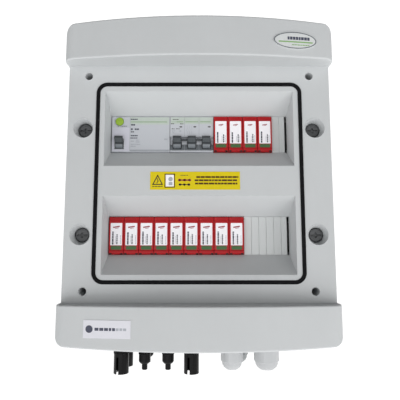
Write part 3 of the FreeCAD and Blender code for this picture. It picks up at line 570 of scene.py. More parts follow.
def as_object(mesh: bmesh.types.BMesh, name: str) -> bpy.types.Object:
    """Turns a mesh into an object of the scene.

    Args:
        mesh: The mesh, which is used up.
        name: The object's name.

    Returns:
        The object.
    """
    bmesh.ops.recalc_face_normals(mesh, faces=mesh.faces[:])
    data = bpy.data.meshes.new(name)
    mesh.to_mesh(data)
    mesh.free()
    thing = bpy.data.objects.new(name, data)
    bpy.context.scene.collection.objects.link(thing)
    return thing


def rounded_outline(x: Point, z: Point, radius: float, steps: int = 5) -> list[Point]:
    """The outline of a rectangle with round corners.

    Args:
        x: Left and right.
        z: Bottom and top.
        radius: Radius of the corners, or 0.
        steps: Sides of each corner.

    Returns:
        The corners of the outline.
    """
    if radius <= 0:
        return [(x[0], z[0]), (x[1], z[0]), (x[1], z[1]), (x[0], z[1])]
    middles = [((x[1] - radius, z[0] + radius), -90), ((x[1] - radius, z[1] - radius), 0),
               ((x[0] + radius, z[1] - radius), 90), ((x[0] + radius, z[0] + radius), 180)]
    outline = []
    for (a, b), first in middles:
        for i in range(steps + 1):
            angle = math.radians(first + 90 * i / steps)
            outline.append((a + radius * math.cos(angle), b + radius * math.sin(angle)))
    return outline


def dress(thing: bpy.types.Object, look: Look, ease: float = 0.0, segments: int = 2,
          corner: float = 35.0) -> None:
    """Gives an object its finish, smooth faces and eased edges.

    Args:
        thing: The object.
        look: Its finish.
        ease: Width of the eased edges, or 0.
        segments: Segments of the eased edges.
        corner: Angle, in degrees, from which an edge is sharp.
    """
    thing.data.materials.clear()
    thing.data.materials.append(Paintbox.material(look))
    for face in thing.data.polygons:
        face.use_smooth = True
        face.material_index = 0
    thing.data.set_sharp_from_angle(angle=math.radians(corner))
    if ease:
        bevel = thing.modifiers.new("eased_edges", "BEVEL")
        bevel.width = ease * MM
        bevel.segments = segments
        bevel.limit_method = "ANGLE"
        bevel.angle_limit = math.radians(corner)
        bevel.use_clamp_overlap = True
        bevel.harden_normals = True


def paint(node: str, look: Look) -> None:
    """Gives a node of the frame a finish and leaves its shape alone.

    Args:
        node: The node's name.
        look: Its finish.
    """
    thing = frame["nodes"][node]
    material = Paintbox.material(look)
    if not thing.material_slots:
        thing.data.materials.append(material)
    for slot in thing.material_slots:
        slot.material = material


def eased(node: str, look: Look, ease: float, segments: int = 2,
          corner: float = 30.0) -> None:
    """Stands a copy with eased edges in for a node of the frame.

    Args:
        node: The node's name.
        look: The finish.
        ease: Width of the eased edges.
        segments: Segments of the eased edges.
        corner: Angle, in degrees, from which an edge is sharp.
    """
    source = frame["nodes"][node]
    shape = bmesh.new()
    shape.from_mesh(source.data)
    bmesh.ops.remove_doubles(shape, verts=shape.verts[:], dist=2e-6)
    bmesh.ops.dissolve_limit(shape, angle_limit=math.radians(0.4), verts=shape.verts[:],
                             edges=shape.edges[:])
    bmesh.ops.connect_verts_concave(shape, faces=[f for f in shape.faces if len(f.verts) > 4])
    thing = as_object(shape, f"{node}_eased")
    dress(thing, look, ease, segments, corner)
    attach(thing, source["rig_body"])
    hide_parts(node)
    log.info("%s stands for %s", thing.name, node)


class Ink:
    """Thin printed marks on a face that looks to the front, gathered in one piece."""

    def __init__(self, depth: float | Depth, thick: float, at: Point, step: float = 5.0) -> None:
        """Starts with no marks.

        Args:
            depth: Where the printed face is, from front to back, or a function of x.
            thick: How far the marks stand out.
            at: The (x, z) from which the marks are measured.
            step: Longest stretch of a mark on a bowed face.
        """
        self.shape = Shape()
        self.bowed = callable(depth)
        self.depth: Depth = depth if callable(depth) else (lambda x: depth)
        self.thick = thick
        self.at = at
        self.step = step

    def bar(self, x: Point, z: Point) -> None:
        """Adds an upright rectangle.

        Args:
            x: Left and right.
            z: Bottom and top.
        """
        left, right = self.at[0] + x[0], self.at[0] + x[1]
        heights = (self.at[1] + z[0], self.at[1] + z[1])
        count = max(1, math.ceil((right - left) / self.step)) if self.bowed else 1
        edges = [left + (right - left) * i / count for i in range(count + 1)]
        mesh = self.shape.mesh
        for pair in zip(edges, edges[1:]):
            corners = []
            for across in pair:
                face = self.depth(across)
                for y in (face - self.thick, face + SUNK):
                    corners += [mesh.verts.new(Vector((across, y, up)) * MM) for up in heights]
            for quad in BOX_FACES:
                mesh.faces.new([corners[k] for k in quad])

    def shape_at(self, outline: list[Point]) -> None:
        """Adds a flat mark of any outline.

        Args:
            outline: Its corners, as (x, z).
        """
        spots = [(self.at[0] + a, self.at[1] + b) for a, b in outline]
        face = self.depth(sum(a for a, _ in spots) / len(spots))
        self.shape.prism(spots, face - self.thick, face + SUNK)

    def disc(self, x: float, z: float, radius: float, flat: float = 1.0) -> None:
        """Adds a disc or an oval.

        Args:
            x: Its middle.
            z: Its middle.
            radius: Half its width.
            flat: Its height as a share of its width.
        """
        slices, steps = 14, 20
        if self.bowed:
            cuts = [-math.cos(math.pi * i / slices) * radius for i in range(slices + 1)]
            for a, b in zip(cuts, cuts[1:]):
                half = math.sqrt(max(0.0, radius ** 2 - ((a + b) / 2) ** 2)) * flat
                self.bar((x + a, x + b), (z - half, z + half))
            return
        turns = (2 * math.pi * i / steps for i in range(steps))
        self.shape_at([(x + radius * math.cos(a), z + radius * flat * math.sin(a)) for a in turns])

    def line(self, start: Point, stop: Point, width: float) -> None:
        """Adds a straight stroke.

        Args:
            start: Where it starts, as (x, z).
            stop: Where it stops.
            width: Its width.
        """
        along = Vector((stop[0] - start[0], stop[1] - start[1])).normalized()
        side = Vector((-along.y, along.x)) * width / 2
        end = along * width / 2
        a, b = Vector(start) - end, Vector(stop) + end
        self.shape_at([tuple(a - side), tuple(b - side), tuple(b + side), tuple(a + side)])

    def loop(self, points: list[Point], width: float) -> None:
        """Adds a closed outline of strokes.

        Args:
            points: Its corners, as (x, z).
            width: Width of the strokes.
        """
        for start, stop in zip(points, points[1:] + points[:1]):
            self.line(start, stop, width)

    def row(self, x: Point, z: float, height: float, seed: int, word: Point = (1.2, 3.4),
            gap: float = 0.6) -> None:
        """Adds a row of dashes, like a line of print too small to read.

        Args:
            x: Left and right.
            z: Middle of the row.
            height: Height of the dashes.
            seed: Seed of their lengths.
            word: Shortest and longest dash.
            gap: Gap between two dashes.
        """
        chance = random.Random(seed)
        at = x[0]
        while at < x[1] - word[0] / 2:
            end = min(x[1], at + chance.uniform(*word))
            self.bar((at, end), (z - height / 2, z + height / 2))
            at = end + gap

    def column(self, x: float, z: Point, width: float, seed: int, word: Point = (0.8, 2.2),
               gap: float = 0.5) -> None:
        """Adds a column of dashes, like print turned on its side.

        Args:
            x: Middle of the column.
            z: Bottom and top.
            width: Width of the dashes.
            seed: Seed of their lengths.
            word: Shortest and longest dash.
            gap: Gap between two dashes.
        """
        chance = random.Random(seed)
        at = z[0]
        while at < z[1] - word[0] / 2:
            end = min(z[1], at + chance.uniform(*word))
            self.bar((x - width / 2, x + width / 2), (at, end))
            at = end + gap

    def piece(self, name: str, body: str, look: Look, slot: str) -> None:
        """Turns the marks into an object.

        Args:
            name: The object's name.
            body: The body that it rides on.
            look: The ink.
            slot: Passed on; not used.
        """
        self.shape.piece(name, body, look, slot)


# Sub-assemblies


@dataclass
class Enclosure:
    """The cover, the base box and what is moulded into them."""

    recess_height: float = 31.0
    recess_width: float = 1.5

    def dress(self) -> None:
        """Gives the housing its finish and adds the details of its walls."""
        paint("front_cover", Look.HOUSING)
        paint("base_box", Look.HOUSING)
        paint("cover_gasket", Look.SEAL)
        paint("screw_sleeves", Look.ZINC)
        self.clip_slots()
        self.wall_recesses()

    def clip_slots(self) -> None:
        """Adds painted shade in the clip slot at the right end of each window."""
        for name, strip in (("upper", "blank_upper"), ("lower", "blank_lower")):
            spot = Extent.of(strip)
            shape = Shape()
            start = spot.x1 + 0.7
            half = self.recess_height / 2
            shape.block((start, start + self.recess_width), (spot.y0 - 0.1, spot.y0 + 1.4),
                        (spot.z - half - 4, spot.z + half), 0.6)
            # A near-black block: painted shade where the slot is.
            shape.piece(f"clip_slot_{name}", "cover", Look.PAINTED_SHADE, "enclosure")

    def wall_recesses(self) -> None:
        """Adds a thin moulded lip round the mouth of each corner tube."""
        across, up = 131, 126
        for name, x, z in (("ul", -across, up), ("ur", across, up), ("ll", -across, -up),
                           ("lr", across, -up)):
            shape = Shape()
            shape.turned([(4.5, -113.2), (4.62, -114.2), (5.1, -114.2), (5.5, -113.9), (5.5, -113.2)],
                         (x, 0, z), "Y", 40, ring=True)
            shape.piece(f"tube_lip_{name}", "cover", Look.HOUSING, "enclosure")


@dataclass
class DoorSeal:
    """The rubber seal that a clear door would press on."""

    def dress(self) -> None:
        """Gives the seal its finish and a rounded crown."""
        eased("door_seal", Look.SEAL, 0.9, 3)


@dataclass
class CoverScrews:
    """The four quarter-turn screws, and the rims and linings of their wells."""

    ring_out: float = 12.3
    ring_in: float = 11.5
    notches: int = 24

    def dress(self) -> None:
        """Gives the screws a finish, a ring and notches, and the wells a lip and a lining."""
        for name in ("upper_left", "upper_right", "lower_left", "lower_right"):
            node = f"cover_screw_{name}"
            eased(node, Look.SCREW_CAP, 0.35)
            spot = Extent.of(node)
            x, z, front = spot.x, spot.z, spot.y0
            ring = Shape()
            ring.turned([(7.3, front + 0.1), (7.3, front - 0.45), (6.7, front - 0.45),
                         (6.7, front + 0.1)], (x, 0, z), "Y", 48, ring=True)
            ring.piece(f"screw_ring_{name}", f"screw_{name}", Look.SCREW_CAP, "cover_screw", 0.12)
            marks = Shape()
            for i in range(self.notches):
                turn = Matrix.Rotation(2 * math.pi * i / self.notches, 3, "Y")
                marks.prism([(7.95, -0.5), (8.28, -0.5), (8.28, 0.5), (7.95, 0.5)],
                            front + 1.0, front + 5.4, "Y", Vector((x, 0, z)), turn)
            marks.piece(f"screw_grip_{name}", f"screw_{name}", Look.SCREW_CAP, "cover_screw", 0.1)
            lip = Shape()
            lip.turned([(self.ring_in, PANEL), (self.ring_in + 0.2, PANEL - 0.65),
                        (self.ring_out, PANEL - 0.65), (self.ring_out + 0.5, PANEL)],
                       (x, 0, z), "Y", 64, ring=True)
            lip.piece(f"well_lip_{name}", "cover", Look.HOUSING, "enclosure")
            liner = Shape()
            liner.turned([(11.48, -114.0), (10.3, -110.6), (8.85, -105.2), (8.85, -103.1),
                          (11.48, -103.1)], (x, 0, z), "Y", 64, ring=True)
            liner.piece(f"well_liner_{name}", "cover", Look.HOUSING, "enclosure")


@dataclass
class Rails:
    """The two rails with their punched slots and screws."""

    slot_pitch: float = 25.0
    screw_across: float = 104.0
    screw_up: float = 62.5

    def dress(self) -> None:
        """Gives rails and screws their finish and adds painted shade in the punched slots and the screw
        slots.
        """
        paint("rail_upper", Look.RAIL)
        paint("rail_lower", Look.RAIL)
        paint("rail_screws", Look.ZINC)
        for row in ("upper", "lower"):
            spot = Extent.of(f"rail_{row}")
            # The punched slots are near-black blocks on the rail face: painted shade where the holes are.
            slots = Shape()
            for i in range(-3, 4):
                middle = i * self.slot_pitch
                slots.block((middle - 7, middle + 7), (-29.56, -29.42),
                            (spot.z - 3, spot.z + 3), 2.9)
            slots.piece(f"rail_slots_{row}", "base", Look.PAINTED_SHADE, "rail_steel")
        # The screw slots are painted shade as well.
        recess = Shape()
        for x in (-self.screw_across, self.screw_across):
            for z in (-self.screw_up, self.screw_up):
                for wide, tall in ((2.3, 0.45), (0.45, 2.3)):
                    recess.block((x - wide, x + wide), (-31.96, -31.8), (z - tall, z + tall), 0.1)
        recess.piece("rail_screw_slots", "base", Look.PAINTED_SHADE, "screw_steel")


@dataclass
class Device:
    """What every rail-mounted device has: clamps with screws, and joints between modules."""

    node: str
    label: str
    look: Look
    slot: str
    screw_drop: float = 8.0
    gap: float = 0.2

    def case(self) -> Extent:
        """Gives the case its finish and its clamps.

        Returns:
            The case's extent.
        """
        eased(self.node, self.look, 0.45)
        spot = Extent.of(self.node)
        self.clamps(spot)
        return spot

    def clamps(self, spot: Extent) -> None:
        """Adds a screw and a clamp mouth at both ends of each module, with painted shade in each screw well,
        cross slot and clamp mouth.

        Args:
            spot: The case's extent.
        """
        wells, heads, crosses, mouths, jaws = Shape(), Shape(), Shape(), Shape(), Shape()
        count = round((spot.x1 - spot.x0 + 2 * self.gap) / MODULE)
        for i in range(count):
            x = spot.x0 - self.gap + (i + 0.5) * MODULE
            for end, way in ((spot.z0, -1), (spot.z1, 1)):
                z = end - way * self.screw_drop
                wells.turned([(4.1, SHOULDER + 0.1), (4.1, SHOULDER - 0.35), (4.9, SHOULDER - 0.35),
                              (5.2, SHOULDER + 0.1)], (x, 0, z), "Y", 28, ring=True)
                # A near-black disc round each screw head, and its cross slots: painted shade in the well.
                crosses.turned([(0, SHOULDER - 0.02), (4.0, SHOULDER - 0.02), (4.0, SHOULDER + 0.1)],
                               (x, 0, z), "Y", 24)
                heads.turned([(0, SHOULDER - 0.22), (2.7, SHOULDER - 0.22), (3.1, SHOULDER - 0.05),
                              (3.1, SHOULDER + 0.05)], (x, 0, z), "Y", 24)
                for wide, tall in ((2.2, 0.4), (0.4, 2.2)):
                    crosses.block((x - wide, x + wide), (SHOULDER - 0.3, SHOULDER - 0.2),
                                  (z - tall, z + tall))
                # The mouths are near-black boxes: painted shade inside the clamp openings.
                for shape, half, near, far, proud in ((mouths, 5.6, -66.0, -54.0, 0.02),
                                                      (jaws, 4.2, -58.0, -55.4, 0.05)):
                    low, high = sorted((end + way * proud, end - way * 0.2))
                    shape.prism([(x - half, near), (x + half, near), (x + half, far), (x - half, far)],
                                low, high, "Z")
        body = frame["nodes"][self.node]["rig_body"]
        for shape, what, look in ((wells, "screw_rims", self.look), (heads, "clamp_screws", Look.CLAMP),
                                  (crosses, "screw_shadows", Look.PAINTED_SHADE),
                                  (mouths, "clamp_mouths", Look.PAINTED_SHADE), (jaws, "clamp_jaws", Look.CLAMP)):
            shape.piece(f"{self.label}_{what}", body, look, self.slot)


@dataclass
class SwitchLever:
    """The grips and the drum of a lever that is tilted up."""

    node: str
    body: str
    poles: tuple[float, ...]
    pivot_y: float = -85.0
    pivot_z: float = 50.0
    tilt: float = 40.0
    half: float = 4.5
    drum: float = 5.0
    ridge: float = 0.48

    def dress(self) -> None:
        """Gives the lever its finish, its grip ridges and its lighter drum."""
        eased(self.node, Look.LEVER, 0.45, 3)
        ridges, bands = Shape(), Shape()
        tilt = math.radians(self.tilt)
        along = Vector((0, -math.cos(tilt), math.sin(tilt)))
        under = Vector((0, -math.sin(tilt), -math.cos(tilt)))
        pivot = Vector((0, self.pivot_y, self.pivot_z))
        for x in self.poles:
            for i in range(4):
                spot = pivot + along * (6.3 + i * 1.55) + under * 1.95
                turns = [math.pi * k / 4 for k in range(8)]
                corners = [(spot.y + self.ridge * math.cos(a), spot.z + self.ridge * math.sin(a))
                           for a in turns]
                ridges.prism(corners, x - self.half, x + self.half, "X")
            arc = []
            for radius, turns in ((self.drum + 0.09, range(11)), (self.drum - 0.1, range(10, -1, -1))):
                for k in turns:
                    angle = math.radians(186 + k * 7.5)
                    arc.append((self.pivot_y + radius * math.cos(angle),
                                self.pivot_z + radius * math.sin(angle)))
            bands.prism(arc, x - self.half + 0.1, x + self.half - 0.1, "X")
        ridges.piece(f"{self.body}_grip_ridges", self.body, Look.LEVER_RIDGE, "lever_dark")
        bands.piece(f"{self.body}_drum_band", self.body, Look.LEVER_DRUM, "lever_dark")


@dataclass
class ResidualBreaker:
    """The four-module residual-current breaker on the left of the upper row."""

    strip: float = 22.4
    band: float = 2.2

    def dress(self) -> None:
        """Gives the breaker its finish and its prints."""
        spot = Device("rcd_case", "rcd", Look.DEVICE, "device_grey").case()
        SwitchLever("rcd_toggle", "rcd_lever", (-98.5,)).dress()
        eased("rcd_test_button", Look.BUTTON, 0.6, 3)
        self.button_ring()
        self.face(spot)

    def button_ring(self) -> None:
        """Adds the raised ring round the test button and the dot on it."""
        spot = Extent.of("rcd_test_button")
        ring = Shape()
        ring.turned([(5.4, NOSE + 0.1), (5.4, NOSE - 0.4), (5.8, NOSE - 0.4), (6.0, NOSE + 0.1)],
                    (spot.x, 0, spot.z), "Y", 48, ring=True)
        ring.piece("test_button_ring", "base", Look.DEVICE, "device_grey", 0.15)
        dot = Shape()
        dot.turned([(0, spot.y0 - 0.12), (2.2, spot.y0 - 0.1), (2.9, spot.y0 + 0.05)],
                   (spot.x, 0, spot.z), "Y", 30)
        dot.piece("test_button_dish", "rcd_button", Look.BUTTON, "button_green")

    def face(self, spot: Extent) -> None:
        """Prints the face, and paints shade along its lower edge.

        Args:
            spot: The case's extent.
        """
        at, width = (spot.x0, spot.z), spot.x1 - spot.x0
        ground = Ink(NOSE, 0.06, at)
        ground.bar((0.7, 3.1), (-21.4, 8.4))
        ground.bar((15.8, self.strip - 0.5), (-21.4, 8.4))
        ground.bar((3.1, 15.8), (-5.4, 8.4))
        ground.bar((3.1, 15.8), (-21.4, -19.4))
        ground.piece("rcd_left_field", "base", Look.DEVICE_LILAC, "device_grey")
        joint = Ink(NOSE, 0.05, at)
        joint.bar((self.strip - 0.2, self.strip + 0.2), (-21.5, 21.6))
        joint.piece("rcd_joint_line", "base", Look.DEVICE_SHADE, "device_grey")
        # A grey band along the lower edge of the face: painted shade of the shaded underside.
        edge = Ink(NOSE, 0.07, at)
        edge.bar((self.strip + 0.4, width - 0.6), (-21.7, -21.7 + self.band))
        edge.piece("rcd_lower_painted_shade", "base", Look.DEVICE_SHADE, "device_grey")
        wash = Ink(NOSE, 0.05, at)
        wash.bar((self.strip + 0.4, width - 0.7), (12.4, 21.6))
        wash.piece("rcd_green_field", "base", Look.GREEN_FIELD, "device_grey")
        green = Ink(NOSE, 0.08, at)
        green.bar((self.strip + 0.6, width - 3.4), (15.0, 16.3))
        green.piece("rcd_green_line", "base", Look.PALE_GREEN, "device_grey")
        dash = Ink(NOSE, 0.09, at)
        for x, z, height, seed, word, gap in (
                ((23.0, 31.6), 19.0, 1.5, 9, (1.6, 3.0), 0.3),
                ((23.6, 28.6), 12.0, 2.0, 10, (1.6, 3.0), 0.3),
                ((23.4, 26.8), 6.4, 2.2, 11, (1.8, 3.0), 0.3),
                ((28.2, 33.4), 6.4, 1.9, 12, (1.6, 3.0), 0.4),
                ((23.4, 27.4), 3.0, 1.5, 13, (1.6, 3.0), 0.3),
                ((23.4, 32.0), -1.8, 1.5, 14, (1.6, 3.0), 0.3),
                ((23.0, 31.6), -4.8, 1.2, 15, (2.0, 4.0), 0.3),
                ((7.2, 18.6), 10.2, 0.7, 16, (1.4, 3.0), 0.4)):
            dash.row(x, z, height, seed, word, gap)
        dash.piece("rcd_small_print", "base", Look.INK_GREY, "device_grey")
        faint = Ink(NOSE, 0.09, at)
        for seed, z, start, stop in ((20, -7.4, 30.0, 34.0), (21, -9.8, 29.6, 35.0), (22, -12.8, 23.6, 35.2),
                                     (23, -15.2, 23.6, 30.0), (24, -8.8, 23.6, 27.6)):
            faint.row((start, stop), z, 1.3, seed, (1.2, 3.0), 0.4)
        faint.row((65.0, 68.6), -6.4, 2.0, 27, (0.7, 1.4), 0.4)
        faint.piece("rcd_faint_print", "base", Look.INK_PALE, "device_grey")


@dataclass
class MainBreaker:
    """The three-pole breaker with its tied levers."""

    def dress(self) -> None:
        """Gives the breaker its finish and its prints."""
        spot = Device("mcb_case", "mcb", Look.DEVICE, "device_grey").case()
        SwitchLever("mcb_toggle", "mcb_lever", (-27.0, -9.0, 9.0)).dress()
        left = spot.x0 - Device.gap
        at, width = (left, spot.z), spot.x1 - left
        wash = Ink(NOSE, 0.05, at)
        wash.bar((0.9, width - 0.7), (13.0, 21.6))
        wash.piece("mcb_green_field", "base", Look.GREEN_FIELD, "device_grey")
        band = Ink(NOSE, 0.07, at)
        for start, stop in ((8.1, 16.4), (19.0, 34.8), (37.4, 50.4)):
            band.bar((start, stop), (15.2, 16.5))
        band.bar((1.2, 7.4), (15.5, 16.0))
        band.piece("mcb_green_line", "base", Look.PALE_GREEN, "device_grey")
        joints = Ink(NOSE, 0.05, at)
        for pole in (1, 2):
            middle = pole * MODULE
            joints.bar((middle - 0.18, middle + 0.18), (-2.4, 21.5))
        joints.piece("mcb_pole_joints", "base", Look.DEVICE_SHADE, "device_grey")
        self.ledge(left, spot.z)
        dots = Ink(NOSE, 0.09, at)
        for x in (13.4, 30.8, 48.6):
            dots.disc(x, 9.4, 1.9, 0.42)
        dots.row((1.4, 5.0), 13.4, 1.1, 60)
        dots.row((12.4, 16.4), 13.2, 0.9, 61)
        dots.row((3.4, 10.6), 18.8, 0.8, 62, (1.4, 2.6), 0.35)
        dots.row((2.2, 5.8), 6.9, 0.8, 63)
        dots.row((7.6, 12.0), 6.9, 0.8, 64)
        dots.piece("mcb_dark_print", "base", Look.INK_BLACK, "device_grey")
        plan = Ink(NOSE, 0.09, at)
        for x in (21.5, 24.2, 26.9):
            plan.line((x, 10.6), (x, 6.4), 0.35)
            plan.line((x, 3.0), (x - 1.3, 5.8), 0.35)
            plan.line((x, 3.0), (x, 0.6), 0.35)
        plan.loop([(2.4, 5.0), (6.0, 5.0), (4.2, 1.6)], 0.4)
        plan.disc(12.9, 4.0, 1.3)
        plan.piece("mcb_plan", "base", Look.INK_PALE, "device_grey")

    def ledge(self, left: float, row: float) -> None:
        """Adds painted shade on the slope under the levers.

        Args:
            left: Left edge of the breaker.
            row: Height of its row.
        """
        # Dark grey on the up-facing slope: painted shade.
        field = Shape()
        foot = [(-87.85, row - 20.6), (-88.1, row - 20.45)]
        outline = [(-84.9, row - 12.6), *foot, (-85.12, row - 12.4)]
        under = [(-87.2, row - 18.8), *foot, (-87.46, row - 18.8)]
        for pole in range(3):
            middle = left + (pole + 0.5) * MODULE
            for side in (-1, 1):
                ends = sorted((middle + side * 5.75, middle + side * 8.85))
                field.prism(outline, ends[0], ends[1], "X")
            field.prism(under, middle - 5.75, middle + 5.75, "X")
        field.piece("mcb_ledge_painted_shade", "base", Look.DEVICE_EDGE, "device_grey")


@dataclass
class Cartridge:
    """One pull-out surge cartridge: body, label, print, status window, and painted shade in its notches.

    The heights top, foot and flag_foot are measured from the row. From the label's foot,
    reach is how high its print goes, second is where its second column is, across, and mark
    scales the sign above.
    """

    node: str
    body: str
    top: float
    foot: float
    flag_foot: float
    flag_width: float
    seed: int
    reach: float
    second: float
    mark: float
    label_width: float = 13.9

    def dress(self) -> None:
        """Gives the cartridge its finish and its details."""
        eased(self.node, Look.RED, 0.4)
        spot = Extent.of(self.node)
        x, row, face = spot.x, spot.z, spot.y0
        label = Shape()
        foot, paper = row + self.foot, face - 0.22
        label.block((x - self.label_width / 2, x + self.label_width / 2), (paper, face + 0.2),
                    (foot, row + self.top), 0.6)
        label.piece(f"{self.body}_label", self.body, Look.LABEL, "arrester_red", 0.08)
        flag_top, flag_low = foot - 0.3, row + self.flag_foot
        half = self.flag_width / 2
        frame_shape = Shape()
        frame_shape.block((x - half - 0.6, x + half + 0.6), (face - 0.12, face + 0.3),
                          (flag_low - 0.5, flag_top + 0.1), 1.0)
        frame_shape.piece(f"{self.body}_flag_frame", self.body, Look.FLAG_FRAME, "arrester_red", 0.06)
        flag = Shape()
        flag.block((x - half, x + half), (face - 0.3, face + 0.1), (flag_low, flag_top - 0.5), 1.5)
        flag.piece(f"{self.body}_flag", self.body, Look.FLAG, "arrester_red", 0.18)
        ink = Ink(paper, 0.05, (x, foot))
        ink.column(-4.0, (1.0, self.reach), 1.7, self.seed, (1.6, 4.4), 0.35)
        ink.column(self.second, (1.4, self.reach - 3.2), 1.3, self.seed + 50, (1.2, 3.2), 0.45)
        ink.piece(f"{self.body}_print", self.body, Look.INK_DARK, "arrester_red")
        small = Ink(paper, 0.05, (x, foot))
        small.column(self.second - 1.9, (2.4, self.reach - 5.4), 0.6, self.seed + 70, (0.6, 1.4), 0.4)
        small.column(5.2, (1.4, self.reach - 4.6), 0.7, self.seed + 90, (0.7, 1.8), 0.45)
        small.piece(f"{self.body}_small_print", self.body, Look.INK_PALE, "arrester_red")
        mark = Ink(paper, 0.05, (x, row + self.top - 4.6))
        size = self.mark
        mark.line((-3.2 * size, -0.5 * size), (3.2 * size, 0.5 * size), 1.5 * size)
        mark.line((-1.2 * size, -1.9 * size), (2.4 * size, -1.3 * size), 0.6 * size)
        mark.piece(f"{self.body}_mark", self.body, Look.INK_RED, "arrester_red")
        # Near-black blocks at the foot: painted shade in the notches.
        notch = Shape()
        for side in (-1, 1):
            middle = x + side * 6.6
            notch.block((middle - 1.5, middle + 1.5), (face - 0.04, face + 1.2),
                        (spot.z0 + 0.1, spot.z0 + 1.7), 0.7)
        notch.piece(f"{self.body}_notches", self.body, Look.PAINTED_SHADE, "arrester_red")
        grip = Shape()
        for i in range(4):
            z = spot.z1 - 4.2 + i * 0.95
            grip.prism([(face + 0.72, z - 0.22), (face + 1.05, z - 0.3), (face + 1.05, z + 0.3),
                        (face + 0.72, z + 0.22)], x - 5.4, x + 5.4, "X")
        grip.piece(f"{self.body}_grip", self.body, Look.RED, "arrester_red")


@dataclass
class SurgeArresters:
    """The surge arresters: bases on the rails and thirteen cartridges."""

    def dress(self) -> None:
        """Gives bases and cartridges their finish and details."""
        for name in ("upper", "lower_1", "lower_2", "lower_3"):
            Device(f"surge_base_{name}", f"arrester_{name}", Look.DARK_RED, "arrester_base").case()
        upper = {"top": 16.0, "foot": -12.2, "flag_foot": -17.0, "flag_width": 12.6, "reach": 15.0,
                 "second": 3.2, "mark": 0.72}
        lower = {"top": 15.0, "foot": -11.6, "flag_foot": -16.7, "flag_width": 12.2, "reach": 16.4,
                 "second": 1.0, "mark": 1.0}
        for row, count, seed, sizes in (("upper", 4, 200, upper), ("lower", 9, 300, lower)):
            for number in range(1, count + 1):
                Cartridge(f"surge_plug_{row}_{number}", f"cartridge_{row}_{number}", seed=seed + number,
                          **sizes).dress()


@dataclass
class BlankingStrips:
    """The strips that close unused modules."""

    def dress(self) -> None:
        """Gives the strips their finish and softened edges."""
        for name in ("blank_upper", "blank_lower"):
            eased(name, Look.STRIP, 0.25)


